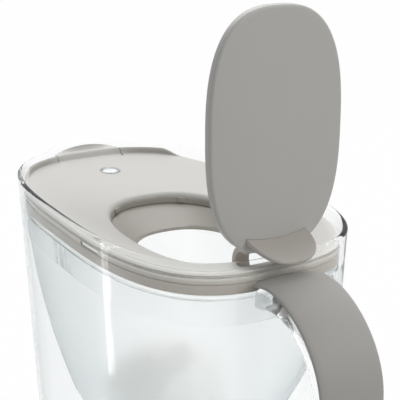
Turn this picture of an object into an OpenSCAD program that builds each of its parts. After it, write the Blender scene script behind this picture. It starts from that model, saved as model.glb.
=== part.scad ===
// Water filter pitcher with a flip lid.
// Origin: centre of the jug's flat base. +Z up, +X towards the handle, -X towards the spout.
// The flip lid is drawn open, standing on its stop.

/* [Jug] */
// Height of the rim above the table
rim_h = 264; // [240:1:300]
// Length of the rim over its outside
rim_l = 229; // [220:1:250]
// Width of the rim over its outside
rim_w = 136; // [130:1:150]
// Squareness of the rim's oval, where 2 is an ellipse
rim_n = 3; // [2.6:0.1:3.6]
// How far each side leans in from the rim down to the base
wall_lean = 9; // [6:0.5:12]
// Thickness of the clear wall
wall_t = 2.6; // [2.2:0.1:3]
// Thickness of the jug's floor
floor_t = 4; // [3:0.5:6]
// Radius between the base and the wall
base_r = 6; // [5:0.5:9]
// How far the spout bulges out at the rim
spout_out = 5.5; // [4:0.5:8]
// How far the spout stands up over the rim
spout_up = 3; // [2:0.5:6]
// Width of the spout where it leaves the oval
spout_w = 68; // [60:1:76]
// Width of the spout's straight middle
spout_flat_w = 28; // [20:1:34]
// Height of the spout's channel below the rim
spout_h = 55; // [40:1:70]

/* [Handle] */
// How far the grip stands out past the rim
grip_out = 56; // [50:1:62]
// Drop from the rim to the grip's top end
grip_drop = 9.6; // [9:0.2:12]
// Height of the handle from its top end to its lower end
handle_h = 202; // [170:1:206]
// Width of the grip
grip_w = 34; // [30:1:38]
// Thickness of the soft grip
grip_t = 3.2; // [2.4:0.2:4.4]
// Width of the clear rail under the grip
rail_w = 33; // [28:0.5:34]
// Depth of the clear rail under the grip
rail_t = 5.8; // [5:0.2:7]
// Extra depth of the clear rail at its upper root
rail_root = 5.2; // [0:0.2:6]

/* [Lid] */
// Drop from the rim to the edge of the lid's top
lid_drop = 5.8; // [5:0.2:8]
// Height of the lid's edge, from its top to its underside
lid_h = 11.3; // [10:0.1:13]
// Height of the cover's share of that edge
cover_h = 6; // [5.6:0.1:6.6]
// Wall thickness of the two lid mouldings
lid_t = 1.8; // [1.6:0.1:2]
// Running gap between the lid and the jug's wall
lid_gap = 0.5; // [0.4:0.1:0.8]
// Width of the sloping border between the lid's top and its skirt
border_w = 2.8; // [2.4:0.1:3.4]
// How far the top dishes down to the fill opening
dish = 4.8; // [4:0.2:5.6]
// Height of the raised ridge round the spout end
ridge_h = 4.2; // [3:0.2:4.4]
// Width of the lid over which that ridge runs
ridge_w = 109; // [100:1:112]

/* [Fill opening] */
// Length of the opening between its lips
open_l = 122.6; // [110:0.5:124]
// Width of the opening between its lips
open_w = 75.8; // [70:0.2:80]
// Squareness of the opening's oval
open_n = 2.35; // [2.2:0.05:2.6]
// Distance from the handle end of the rim to the opening
open_back = 22.9; // [22:0.1:24]
// Radius of the opening's soft lip
lip_r = 3; // [2.4:0.1:3.6]
// Depth of the opening's upright wall, from the dish down to the chute
lip_h = 6.3; // [6:0.1:8]
// Depth of the chute
chute_h = 7; // [6:0.2:8]
// Length of the hole at the chute's foot
hole_l = 89.2; // [80:0.5:94]
// Width of the hole at the chute's foot
hole_w = 61.8; // [56:0.5:64]
// Length of the locking bosses on the opening's wall
boss_l = 5; // [4:0.5:8]

/* [Flip lid] */
// Gap from the flap to the opening's spout end and sides
flap_gap = 2.2; // [1.5:0.1:3]
// Gap from the flap to the opening's handle end
flap_back = 4.8; // [4:0.2:6]
// Squareness of the flap's outline
flap_n = 2.68; // [2.4:0.02:3]
// Depth of the flap's rim
flap_h = 5.2; // [4.6:0.2:5.2]
// Wall thickness of the flap
flap_t = 2; // [1.6:0.1:2.2]
// How far the flap's face is domed
flap_dome = 1.2; // [0.6:0.1:1.6]
// Distance from the handle end of the rim to the hinge
hinge_back = 14.7; // [14:0.1:15]
// Drop from the rim to the hinge
hinge_drop = 14.3; // [14:0.1:14.8]
// Height of the flap's face over the hinge when it is shut
face_rise = 6.3; // [6:0.1:7]
// Radius of the hinge's trunnions
pin_r = 2; // [1.6:0.1:2.2]
// Running clearance of the trunnions, on the radius
pin_gap = 0.06; // [0.02:0.01:0.1]
// Width of each hinge arm
arm_w = 8; // [6:0.5:9]
// Thickness of each hinge arm
arm_t = 3; // [2.4:0.2:3.4]
// Space between the two hinge arms
arm_space = 14; // [12:0.5:16]
// Width of the thumb tab
tab_w = 33; // [28:0.5:34]
// Length of the thumb tab
tab_l = 19.5; // [14:0.5:21]
// Length of the pad that backs the thumb tab inside the flap
pad_l = 20; // [10:1:30]
// Thickness of the thumb tab
tab_t = 2.2; // [1.8:0.1:2.6]
// Tilt of the thumb tab from square to the flap
tab_tilt = 16; // [12:1:17]
// Distance from the flap's hinge end to the thumb tab
tab_in = 7; // [7:0.2:8]

/* [Spout flap] */
// Width of the spout flap
spout_flap_w = 43.4; // [36:0.2:44]
// How far the spout flap's shelf rises from its crest to its tip
shelf_rise = 3.8; // [0:0.2:4]
// Gap round the spout flap
spout_gap = 0.4; // [0.3:0.1:0.6]
// Radius of the spout flap's pins
spout_pin_r = 0.7; // [0.6:0.05:0.75]

/* [Indicator] */
// Distance from the spout end of the rim to the indicator
led_in = 37.2; // [36:0.2:40]
// Diameter of the indicator's lit button, with the gap round it
led_d = 10.3; // [10:0.1:12]
// Width of the metal ring round the button
bezel_w = 0.8; // [0.6:0.1:1.2]
// Travel of the button
button_travel = 0.8; // [0.4:0.1:1]
// Radius of the module under the button
module_r = 13.5; // [13:0.1:14.5]
// Diameter of the coin cell
cell_d = 20; // [12:0.5:21]
// Thickness of the coin cell
cell_t = 3.2; // [2.5:0.1:3.2]

/* [Funnel] */
// Thickness of the funnel's wall
funnel_t = 1.8; // [1.4:0.1:2.2]
// Thickness of the funnel's hanging flange
flange_t = 2; // [1.6:0.1:2.4]
// Depth of the funnel from its flange to its floor
funnel_h = 107; // [95:1:115]
// Length of the funnel's floor
floor_l = 146; // [120:1:156]
// Width of the funnel's floor
floor_w = 94; // [80:1:98]
// Squareness of the funnel's floor
floor_n = 2.5; // [2.2:0.1:3]
// How late the funnel's wall tapers, where 1 is a straight wall
taper_curve = 2; // [1:0.1:2.4]
// Offset of the cartridge seat from the middle, towards the spout
seat_in = 6; // [0:1:12]
// Clearance of the water channel behind the spout
channel = 5; // [3:0.5:6]

/* [Cartridge] */
// Diameter of the filter cartridge
cart_d = 64; // [60:0.5:66]
// Height of the filter cartridge without its pull ring
cart_h = 80; // [74:1:84]
// Depth of the cartridge's seat in the funnel
seat_h = 50; // [44:1:54]
// Running gap between cartridge and seat
cart_gap = 0.4; // [0.3:0.05:0.6]
// Wall thickness of the cartridge
cart_t = 1.6; // [1.2:0.1:2]
// Reach of the cartridge's pull ring
ring_l = 14; // [11:0.5:14]

/* [Hidden] */
$fn = 64;

greige = [0.80, 0.79, 0.77];
soft_greige = [0.63, 0.62, 0.60];
clear = [0.86, 0.92, 0.93, 0.45];
white = [0.94, 0.94, 0.94];

around = 72;                 // points round each big oval
seat_gap = 0.3;              // standing gap where a loose piece rests on another
glue = 0.1;                  // gap where pieces of one body are pressed or bonded together

rim_a = rim_l / 2;
rim_b = rim_w / 2;

// Heights of the lid, measured up from the table
lid_z = rim_h - lid_drop;
shoulder_z = lid_z - 1.2;
seam_z = lid_z - cover_h;
lid_foot_z = lid_z - lid_h;
dish_z = lid_z - dish;
step_z = dish_z - lip_h;
hole_z = step_z - chute_h;

// Fill opening
open_a = open_l / 2;
open_b = open_w / 2;
open_x = rim_a - open_back - open_a;
step_in = 1.6;                 // how far the chute's edge stands in from the opening's wall
hole_back = 6;                 // distance from the chute's handle end to the hole
hole_a = hole_l / 2;
hole_b = hole_w / 2;
hole_x = open_x + open_a - step_in - hole_back - hole_a;
border_in = wall_t + lid_gap + border_w;

// Hinge of the flip lid
hinge = [rim_a - hinge_back, rim_h - hinge_drop];
flap_front = flap_gap + 0.8;     // gap at the spout end, with room for the flap's swing
flap_a = open_a - (flap_front + flap_back) / 2;
flap_b = open_b - flap_gap;
flap_x = open_x - open_a + flap_front + flap_a - hinge.x;
arm_in = arm_space / 2;
arm_out = arm_in + arm_w;
cheek_t = 2.6;
cheek_r = pin_r + 1.4;
well_w = 2 * (arm_out + seat_gap);
arm_r = 7.6;
arm_c = [0.4 - arm_r, 0.6];
flap_fillet = 0.8;             // slope between the flap's rim and the underside of its face
pad_t = 1.8;
pad_top = face_rise - flap_t - glue;
pad_in = flap_x + reach(flap_a - flap_t - flap_fillet, flap_b - flap_t - flap_fillet, flap_n, arm_out) - 0.3;
tab_root = 3.2;                // how far the thumb tab reaches in behind the flap's face

// Spout flap
spout_hinge = [-(rim_a - border_in - 4), lid_z - 2];
barrel_r = 1.2;
spout_half = spout_flap_w / 2;

// Funnel and cartridge
flange_z = lid_foot_z - seat_gap;
ledge_z = flange_z - flange_t - seat_gap;
ledge_w = 1.6;
floor_z = flange_z - flange_t - funnel_h;
seat_x = -seat_in;
seat_r = cart_d / 2 + cart_gap;
seat_drop = 5;                 // drop from the funnel's floor to the mouth of the seat
seat_top = floor_z - seat_drop;
seat_foot = seat_top - seat_h;
seat_lip = 5;
cart_r = cart_d / 2;
cart_z = seat_foot + funnel_t + seat_gap;
collar_r = cart_r + 3.4;

// Indicator
led_x = -rim_a + led_in;
led_z = surface_z(dish_share(led_x));
button_r = led_d / 2 - seat_gap;
bezel_r = led_d / 2 + bezel_w;
module_z = surface_z(dish_share(led_x + module_r)) - lid_t - 0.4;
module_h = 14.6;
module_t = 1.5;
board_t = 1;
board_z = module_z - 7.6;
board_r = module_r - module_t - 0.4;
stem_r = 1.4;
switch_h = 3;
button_h = module_t + 1.4;     // depth of the button's skirt below the module's top
proud = 0.25;                  // how far the button and its ring stand over the lid

// --- shapes shared by the sub-parts ---

function lerp(p, q, s) = p + (q - p) * s;
function smooth(s) = let (c = min(1, max(0, s))) c * c * (3 - 2 * c);

// A point of a squared oval, spaced as on an ellipse
function oval(a, b, n, t) = [a * cos(t), b * sin(t)] / pow(pow(abs(cos(t)), n) + pow(abs(sin(t)), n), 1 / n);

// Half length at which a squared oval has the half width y
function reach(a, b, n, y) = a * pow(1 - pow(min(abs(y), b) / b, n), 1 / n);

// Outward direction, in degrees, of a squared oval's edge at p
function facing(a, b, n, p) = atan2(
    sign(p.y) * pow(abs(p.y), n - 1) / pow(b, n),
    sign(p.x) * pow(abs(p.x), n - 1) / pow(a, n)
);

function ring(x, a, b, n, z, count = around) = [
    for (i = [0 : count - 1]) let (p = oval(a, b, n, 360 * i / count)) [x + p.x, p.y, z]
];

// Share of the spout's bulge at half width y and height z
function spout_across(y) = smooth((spout_w / 2 - abs(y)) / (spout_w / 2 - spout_flat_w / 2));
function spout_upward(z) = smooth((z - rim_h + spout_h) / spout_h);
function lean(z) = wall_lean * (1 - min(z, rim_h) / rim_h);

// A ring that follows the jug's wall, some way inside its outer face. The share of the spout's bulge
// that it takes is out, and up is how far it rises where the spout does.
function wall_ring(z, inset, out = 1, up = 0) = [
    for (i = [0 : around - 1])
        let (
            p = oval(rim_a - lean(z) - inset, rim_b - lean(z) - inset, rim_n, 360 * i / around),
            w = p.x < 0 ? spout_across(p.y) : 0
        )
        [p.x - w * out * spout_out * spout_upward(z), p.y, z + up * w]
];

// Share of the ridge's height at p
function ridge(p) = p.x < 0 ? smooth((ridge_w / 2 - abs(p.y)) / 9) : 0;

// A ring of the lid's edge, whose height rises with the ridge
function edge_ring(z, inset, rise = 0, out = 0) = [
    for (p = wall_ring(z, inset, 0))
        let (w = p.x < 0 ? spout_across(p.y) * out * spout_out : 0)
        [p.x - w, p.y, p.z + rise * ridge(p)]
];

function mix_ring(r0, r1, s, z) = [
    for (i = [0 : len(r0) - 1]) [lerp(r0[i].x, r1[i].x, s), lerp(r0[i].y, r1[i].y, s), z]
];

// Height of the lid's dished top, from its edge at 0 to the opening's lip at 1
function surface_z(s) = lid_z - dish * pow(s, 1.9);

// How far along that slope the point x lies, on the lid's middle line
function dish_share(x) = (rim_a - border_in + x) / (rim_a - border_in - (open_a + lip_r - open_x));

function flat_list(lists) = [for (l = lists) each l];

// The faces of rings stacked one on the other, as a solid with flat ends or, closed, as a hoop
function stack_faces(rows, count, closed) = concat(
    flat_list([
        for (k = [0 : rows - (closed ? 1 : 2)])
            let (lo = k * count, hi = ((k + 1) % rows) * count)
            flat_list([
                for (i = [0 : count - 1])
                    let (j = (i + 1) % count)
                    [[lo + i, hi + i, hi + j], [lo + i, hi + j, lo + j]]
            ])
    ]),
    closed ? [] : [[for (i = [0 : count - 1]) i], [for (i = [count - 1 : -1 : 0]) (rows - 1) * count + i]]
);

module stack(rings, closed = false) {
    count = len(rings[0]);
    polyhedron(points = flat_list(rings), faces = stack_faces(len(rings), count, closed));
}

// A ring of radius r0 to r1, or a disc, standing on z
module tube(r1, r0, h) {
    difference() {
        cylinder(r = r1, h = h);
        translate([0, 0, -1]) cylinder(r = r0, h = h + 2);
    }
}

module sides() {
    children();
    mirror([0, 1, 0]) children();
}

// A profile drawn in x and z, and extruded from y0 to y1
module across(y0, y1) {
    translate([0, y1, 0]) rotate([90, 0, 0]) linear_extrude(height = y1 - y0) children();
}

// --- jug ---

jug_foot = [for (a = [0 : 22.5 : 90]) [base_r * (1 - sin(a)), base_r * (1 - cos(a))]];
jug_walls = [60, 120, 170];
jug_top = [for (s = [0 : 0.16 : 0.96]) rim_h - spout_h * (1 - s)];

// How far the spout stands up at the height z
function spout_rise(z) = spout_up * smooth((z - jug_top[2]) / (rim_h - jug_top[2]));

module jug() {
    inner_r = base_r - wall_t;
    color(clear) stack([
        for (p = jug_foot) wall_ring(p.y, p.x),
        for (z = jug_walls) wall_ring(z, 0),
        for (z = jug_top) wall_ring(z, 0, 1, spout_rise(z)),
        wall_ring(rim_h - 0.8, 0, 1, spout_up),
        wall_ring(rim_h - 0.2, wall_t * 0.15, 1, spout_up),
        wall_ring(rim_h, wall_t * 0.4, 1, spout_up),
        wall_ring(rim_h - 0.2, wall_t * 0.85, 1, spout_up),
        wall_ring(rim_h - 0.8, wall_t, 1, spout_up),
        for (i = [6, 5]) wall_ring(jug_top[i], wall_t, 1, spout_rise(jug_top[i])),
        wall_ring(ledge_z, wall_t),
        wall_ring(ledge_z, wall_t + ledge_w),
        wall_ring(ledge_z - 2.5, wall_t + ledge_w),
        wall_ring(ledge_z - 7, wall_t),
        for (i = [2, 1, 0]) wall_ring(jug_walls[i], wall_t),
        for (a = [90 : -22.5 : 0])
            wall_ring(floor_t + inner_r * (1 - cos(a)), wall_t + inner_r * (1 - sin(a)))
    ]);
}

// Line of the handle's outer face, as two curves that meet at its furthest point
function bezier(p, t) = let (u = 1 - t)
    pow(u, 3) * p[0] + 3 * u * u * t * p[1] + 3 * u * t * t * p[2] + pow(t, 3) * p[3];

grip_x = rim_a + grip_out;
grip_z = rim_h - grip_drop;
grip_foot = grip_z - handle_h;
grip_mid = grip_z - 45;
upper_line = [
    [rim_a - lean(grip_z) + glue, grip_z], [rim_a + 0.35 * grip_out, grip_z + 8],
    [grip_x, grip_z - 11.3], [grip_x, grip_mid]
];
lower_line = [
    [grip_x, grip_mid], [grip_x, grip_mid - 0.48 * (grip_mid - grip_foot)],
    [rim_a + 0.5 * grip_out, grip_foot + 10], [rim_a - lean(grip_foot + grip_t + rail_t) + glue, grip_foot]
];
handle_steps = 14;
handle_line = [
    for (i = [0 : handle_steps]) bezier(upper_line, i / handle_steps),
    for (i = [1 : handle_steps]) bezier(lower_line, i / handle_steps)
];

// Direction of a line at its point i, which is level at both ends, where the handle meets the jug
function heading(line, i) =
    i == 0 ? [1, 0] : i == len(line) - 1 ? [-1, 0] : let (d = line[i + 1] - line[i - 1]) d / norm(d);

// A section, as [y, depth] points, set square to the handle's line at its point i
function handle_ring(section, line, i) = let (d = heading(line, i)) [
    for (q = section) [line[i].x + d.y * q[1], q[0], line[i].y - d.x * q[1]]
];

// A rounded bar's section of half width w, from depth u0 to u1, arched by the crown
function bar(w, u0, u1, crown, n) = [
    for (i = [0 : 19])
        let (p = oval(w, (u1 - u0) / 2, n, 360 * i / 20))
        [p.x, (u0 + u1) / 2 - p.y + crown * pow(p.x / w, 2)]
];

grip_crown = 1.2;

// The rail's extra depth at the handle's point i, which fades out along the upper curve
root_steps = 10;
function root_depth(i) = rail_root * pow(1 - pow(min(1, i / root_steps), 2), 2);

module handle_rail() {
    color(clear) stack([
        for (i = [0 : 2 * handle_steps])
            let (foot = grip_t + rail_t + root_depth(i), crown = grip_crown * pow(rail_w / grip_w, 2))
            handle_ring(bar(rail_w / 2, grip_t + glue, foot, crown, 5), handle_line, i)
    ]);
}

module grip() {
    section = bar(grip_w / 2, 0, grip_t, grip_crown, 4);
    color(soft_greige) stack([for (i = [0 : 2 * handle_steps]) handle_ring(section, handle_line, i)]);
}

// --- funnel ---

// Ring of the funnel's wall, from its flange at 0 down to its floor at 1, less a thickness
function funnel_ring(s, less) =
    let (
        mouth = wall_t + ledge_w + 0.5,
        top = flange_z - flange_t,
        taper = pow(s, taper_curve),
        a = lerp(rim_a - lean(top) - mouth, floor_l / 2, taper) - less,
        b = lerp(rim_b - lean(top) - mouth, floor_w / 2, taper) - less
    ) [
        for (i = [0 : around - 1])
            let (
                p = oval(a, b, lerp(rim_n, floor_n, taper), 360 * i / around),
                back = p.x < 0 ? channel * spout_across(p.y) * (1 - taper) : 0
            )
            [p.x + seat_x * taper + back, p.y, lerp(top, floor_z, s)]
    ];

function raise(r, z) = [for (p = r) [p.x, p.y, z]];

function flange_ring(z, gap) = [
    for (p = wall_ring(z, wall_t + gap, 0)) [p.x + (p.x < 0 ? channel * spout_across(p.y) : 0), p.y, z]
];

module funnel() {
    steps = [0 : 0.2 : 1];
    hoop = concat(
        [flange_ring(flange_z - flange_t, 0.5), flange_ring(flange_z, 0.5)],
        [raise(funnel_ring(0, funnel_t), flange_z)],
        [for (s = steps) funnel_ring(s, funnel_t)],
        [
            ring(seat_x, lerp(seat_r, floor_l / 2, 0.9), lerp(seat_r, floor_w / 2, 0.8), 2.4, floor_z - 2.4),
            ring(seat_x, seat_r + 1, seat_r + 1, 2, seat_top + 0.4),
            ring(seat_x, seat_r, seat_r, 2, seat_top - 0.6),
            ring(seat_x, seat_r, seat_r, 2, seat_foot + funnel_t),
            ring(seat_x, seat_r - seat_lip, seat_r - seat_lip, 2, seat_foot + funnel_t),
            ring(seat_x, seat_r - seat_lip, seat_r - seat_lip, 2, seat_foot),
            ring(seat_x, seat_r + funnel_t, seat_r + funnel_t, 2, seat_foot),
            ring(seat_x, seat_r + funnel_t, seat_r + funnel_t, 2, seat_top - 2.2),
            ring(seat_x, lerp(seat_r, floor_l / 2, 0.94), lerp(seat_r, floor_w / 2, 0.88), 2.4, floor_z - 4.2)
        ],
        [for (s = [1 : -0.2 : 0.1]) funnel_ring(s, 0)],
        [raise(funnel_ring(0, 0), flange_z - flange_t)]
    );
    color(white) stack(hoop, closed = true);
}

// --- cartridge ---

cap_h = 16;                          // height of the cap over the seat's mouth
shell_h = cart_h - cap_h;
bed_h = shell_h - 12;
cup_r = cart_r - cart_t - glue;      // radius of what fits inside the cup
cup_floor = 2.4;
mesh_t = 0.6;
collar_h = 3;

module at_seat(z = 0) {
    translate([seat_x, 0, z]) children();
}

module cartridge_shell() {
    slot_count = 12;
    color(white) at_seat(cart_z) difference() {
        union() {
            cylinder(r1 = cart_r - 3, r2 = cart_r, h = 4);
            translate([0, 0, 4]) cylinder(r = cart_r, h = shell_h - 4);
            translate([0, 0, shell_h - collar_h]) cylinder(r = collar_r, h = collar_h);
        }
        translate([0, 0, cup_floor]) cylinder(r = cart_r - cart_t, h = shell_h);
        for (i = [0 : slot_count - 1]) rotate(360 * i / slot_count)
            translate([cart_r * 0.3, -1.2, -1]) cube([cart_r * 0.5, 2.4, 5]);
    }
}

module cartridge_gasket() {
    gasket_h = 1.6;
    color([0.25, 0.26, 0.28]) at_seat(cart_z + shell_h - collar_h - gasket_h - glue)
        tube(collar_r - 0.4, cart_r + glue, gasket_h);
}

module bottom_mesh() {
    color([0.85, 0.86, 0.87]) at_seat(cart_z + cup_floor + glue) cylinder(r = cup_r - 3, h = mesh_t);
}

module granule_bed() {
    color([0.16, 0.15, 0.14]) at_seat(cart_z + cup_floor + mesh_t + 0.3) cylinder(r = cup_r - 1.5, h = bed_h);
}

module top_mesh() {
    color([0.85, 0.86, 0.87]) at_seat(cart_z + shell_h - 6) cylinder(r = cup_r, h = mesh_t);
}

ring_half = 9;
ring_wire = 1.6;
ring_pin = 1.3;
ring_z = cart_z + cart_h - 2.4;

module cartridge_cap() {
    vent_count = 10;
    neck_r = cart_r - 4;
    color(white) at_seat(cart_z + shell_h + glue) difference() {
        union() {
            cylinder(r = collar_r - 0.6, h = 2.4);
            translate([0, 0, 2.4]) cylinder(r1 = neck_r, r2 = neck_r - 5, h = cap_h - 8.4);
            translate([0, 0, cap_h - 6.5]) cylinder(r = 15, h = 1.7);
            sides() translate([-3, ring_half + 1.9, cap_h - 5]) cube([6, 2.2, 4.8]);
        }
        translate([0, 0, -1]) cylinder(r1 = neck_r - 1.4, r2 = neck_r - 8, h = cap_h - 8);
        for (i = [0 : vent_count - 1]) rotate(360 * i / vent_count)
            translate([neck_r - 9, -1.2, 3.4]) cube([12, 2.4, cap_h - 12.6]);
        sides() translate([0, ring_half + 1, ring_z - cart_z - shell_h - glue]) rotate([-90, 0, 0])
            cylinder(r = ring_pin / 2 + pin_gap, h = 6, $fn = 32);
    }
}

// Pull ring, folded flat on the cap towards the handle
module pull_ring() {
    bow_x = ring_l - ring_half - ring_wire;
    color(white) at_seat(ring_z) {
        translate([bow_x, 0, -ring_wire / 2]) intersection() {
            tube(ring_half + ring_wire, ring_half, ring_wire);
            translate([0, -20, -1]) cube([20, 40, 4]);
        }
        sides() translate([-1.2, ring_half, -ring_wire / 2]) cube([bow_x + 1.2, ring_wire, ring_wire]);
        sides() translate([0, ring_half + 0.2, 0]) rotate([-90, 0, 0])
            cylinder(r = ring_pin / 2, h = ring_wire + 1.9, $fn = 32);
    }
}

// --- lid ---

lid_inset = wall_t + lid_gap;
clip_places = [-0.41, 0.31];           // share of the half length at which the lid's clips sit
clip_l = 18;
clip_h = 2.4;
clip_z = seam_z + 0.4;
tongue_in = lid_t + 1.8;               // inner face of a clip's tongue, from the skirt's outside
tongue_t = 1.2;

// The four clips that hold cover and base together, set square to the skirt
module at_clips() {
    for (s = clip_places) sides() {
        a = rim_a - lean(clip_z) - lid_inset;
        b = rim_b - lean(clip_z) - lid_inset;
        x = s * rim_a;
        p = [x, reach(b, a, rim_n, x)];
        translate([p.x, p.y, clip_z]) rotate(facing(a, b, rim_n, p)) children();
    }
}

module cover_shell() {
    lip = ring(open_x, open_a + lip_r, open_b + lip_r, open_n, dish_z);
    border = edge_ring(lid_z, border_in);
    shares = [0, 0.2, 0.4, 0.55, 0.7, 0.82, 0.92];
    lip_arc = [0 : 22.5 : 90];
    stack(concat(
        [
            edge_ring(seam_z, lid_inset),
            edge_ring(shoulder_z - 1.3, lid_inset, ridge_h * 0.2),
            edge_ring(shoulder_z - 0.5, lid_inset, ridge_h, 0.9),
            edge_ring(shoulder_z, lid_inset + 0.4, ridge_h, 0.9),
            edge_ring(shoulder_z + 0.1, lid_inset + 0.9, ridge_h, 0.8)
        ],
        [for (s = shares) mix_ring(border, lip, s, surface_z(s))],
        [for (t = lip_arc)
            let (off = lip_r * (1 - sin(t)))
            ring(open_x, open_a + off, open_b + off, open_n, dish_z - lip_r * (1 - cos(t)))],
        [
            ring(open_x, open_a, open_b, open_n, step_z + glue),
            ring(open_x, open_a + lid_t, open_b + lid_t, open_n, step_z + glue)
        ],
        [for (t = [90 : -30 : 0])
            let (r = lip_r - lid_t, off = lip_r - r * sin(t))
            ring(open_x, open_a + off, open_b + off, open_n, dish_z - lip_r + r * cos(t))],
        [for (i = [6, 4, 2, 0]) mix_ring(border, lip, shares[i], surface_z(shares[i]) - lid_t)],
        [
            edge_ring(shoulder_z - lid_t, lid_inset + lid_t, ridge_h * 0.6, 0.5),
            edge_ring(seam_z, lid_inset + lid_t)
        ]
    ), closed = true);
}

module cover_boss() {
    p = oval(open_a, open_b, open_n, 148);
    translate([open_x + p.x, p.y, step_z + 0.6]) rotate(facing(open_a, open_b, open_n, p))
        translate([-0.7, -boss_l / 2, 0]) cube([1.6, boss_l, 3.2]);
}

// Rectangular well behind the opening, where the hinge arms swing
module hinge_well(width) {
    back = hinge.x + cheek_r + 1;
    front = hole_x + hole_a - 8;
    translate([front, -width / 2, hole_z - 5]) cube([back - front, width, 30]);
}

module spout_lug() {
    translate([spout_hinge.x - 2, spout_half + spout_gap + 0.2, spout_hinge.y - 2.2]) cube([4, 2.6, 2.4]);
}

module spout_pin_hole() {
    translate([spout_hinge.x, 0, spout_hinge.y]) rotate([-90, 0, 0])
        cylinder(r = spout_pin_r + pin_gap, h = spout_half + 3.6, $fn = 32);
}

module lid_cover() {
    window = spout_flap_w + 2 * spout_gap;
    color(greige) difference() {
        union() {
            cover_shell();
            sides() cover_boss();
            sides() spout_lug();
        }
        hinge_well(well_w + 2 * cheek_t + 2 * glue);
        translate([-rim_a - spout_out, -window / 2, seam_z - 1])
            cube([rim_a + spout_out + spout_hinge.x + barrel_r + spout_gap, window, 20]);
        sides() spout_pin_hole();
        translate([led_x, 0, led_z - 6]) cylinder(r = bezel_r + 0.02, h = 12);
        at_clips() translate([-3, -clip_l / 2, 0]) cube([6, clip_l, clip_h]);
    }
}

// A clip of the base: a foot inside the skirt, a tongue up from it and a hook into the cover's slot
module clip() {
    width = clip_l - 4;
    translate([-tongue_in, -width / 2, -clip_h]) cube([tongue_in - lid_t + 0.4, width, clip_h - 0.6]);
    translate([-tongue_in, -width / 2, -clip_h]) cube([tongue_t, width, 2 * clip_h]);
    translate([-tongue_in, -width / 2 + 1, 0.5]) cube([tongue_in - lid_t + 0.8, width - 2, 1]);
}

module base_shell() {
    foot = lid_inset + 0.1;
    ledge = lid_t + 0.2;
    stack([
        edge_ring(lid_foot_z, foot),
        edge_ring(seam_z - glue, foot),
        edge_ring(seam_z - glue, foot + lid_t),
        edge_ring(lid_foot_z + lid_t, foot + lid_t),
        ring(open_x, open_a + ledge, open_b + ledge, open_n, lid_foot_z + lid_t),
        ring(open_x, open_a + ledge, open_b + ledge, open_n, step_z),
        ring(open_x, open_a - step_in, open_b - step_in, open_n, step_z),
        mix_ring(
            ring(open_x, open_a - step_in, open_b - step_in, open_n, step_z),
            ring(hole_x, hole_a, hole_b, open_n, hole_z), 0.5, lerp(step_z, hole_z, 0.45)
        ),
        ring(hole_x, hole_a + 0.6, hole_b + 0.6, open_n, hole_z),
        ring(hole_x, hole_a, hole_b, open_n, hole_z - 0.5),
        ring(hole_x, hole_a, hole_b, open_n, hole_z - lid_t + 0.2),
        ring(hole_x, hole_a + 1.4, hole_b + 1.4, open_n, hole_z - lid_t),
        ring(open_x, open_a + 1, open_b + 1, open_n, step_z - lid_t - 0.4),
        ring(open_x, open_a + 3.4, open_b + 3.4, open_n, lid_foot_z)
    ], closed = true);
}

module cheek() {
    across(-arm_out - seat_gap - cheek_t, -arm_out - seat_gap) difference() {
        union() {
            translate(hinge) circle(r = cheek_r);
            translate([hinge.x - cheek_r, lid_foot_z]) square([2 * cheek_r, hinge.y - lid_foot_z]);
        }
        translate(hinge) circle(r = pin_r + pin_gap);
    }
}

module lid_base() {
    bore = pin_r + pin_gap;
    color(greige) difference() {
        union() {
            difference() {
                union() {
                    base_shell();
                    at_clips() clip();
                }
                hinge_well(well_w);
                translate([led_x, 0, lid_foot_z - 5]) cylinder(r = module_r + 0.3, h = 20);
                translate([-rim_a - spout_out, -spout_w / 4, lid_foot_z - 1])
                    cube([rim_a + spout_out + spout_hinge.x, spout_w / 2, lid_h]);
            }
            sides() cheek();
        }
        sides() translate([hinge.x, arm_out, hinge.y]) rotate([-90, 0, 0])
            cylinder(r = bore, h = cheek_t + 1);
    }
}

// --- flip lid, drawn shut about its hinge and then turned open ---

module opened() {
    translate([hinge.x, 0, hinge.y]) rotate([0, 90, 0]) children();
}

flap_points = 60;                      // points round the flap's oval

function flap_ring(less, z) = ring(flap_x, flap_a - less, flap_b - less, flap_n, z, flap_points);

// A ring of the flap's domed face, at a share of its half length, on a face whose edge lies at z
function dome_ring(s, z) = ring(
    flap_x, flap_a * s, flap_b * s, flap_n, z + flap_dome * (1 - s * s), flap_points
);

module panel_shell() {
    top = face_rise;
    foot = face_rise - flap_h;
    stack([
        for (s = [0.06, 0.3, 0.6, 0.85]) dome_ring(s, top),
        flap_ring(1.4, top + 0.05),
        flap_ring(0.4, top - 0.5),
        flap_ring(0, top - 1.5),
        flap_ring(0, foot + 0.5),
        flap_ring(0.5, foot),
        flap_ring(flap_t, foot),
        flap_ring(flap_t, top - flap_t - 0.6),
        flap_ring(flap_t + flap_fillet, top - flap_t),
        for (s = [0.85, 0.6, 0.3, 0.06]) dome_ring(s, top - flap_t)
    ]);
}

tab_x = flap_x + flap_a - tab_in;

// The thumb tab's plane: x across its thickness, z along its length, from where it leaves the face
module at_tab() {
    translate([tab_x, 0, face_rise]) rotate([0, tab_tilt, 0]) children();
}

module flip_panel() {
    slot_gap = 0.2;
    slot_h = 2 * (tab_root + flap_t);
    color(soft_greige) opened() difference() {
        panel_shell();
        at_tab() translate([-tab_t - glue, -tab_w / 2 - slot_gap, -slot_h / 2])
            cube([tab_t + 2 * glue, tab_w + 2 * slot_gap, slot_h]);
        sides() translate([pad_in - 2, arm_in - slot_gap, pad_top - flap_h])
            cube([flap_a, arm_w + 2 * slot_gap, flap_h + glue]);
    }
}

module tab_outline() {
    polygon([
        [-tab_w / 2, -tab_root], [tab_w / 2, -tab_root],
        for (t = [0 : 7.5 : 180]) oval(tab_w / 2, tab_l, 2.65, t)
    ]);
}

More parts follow.
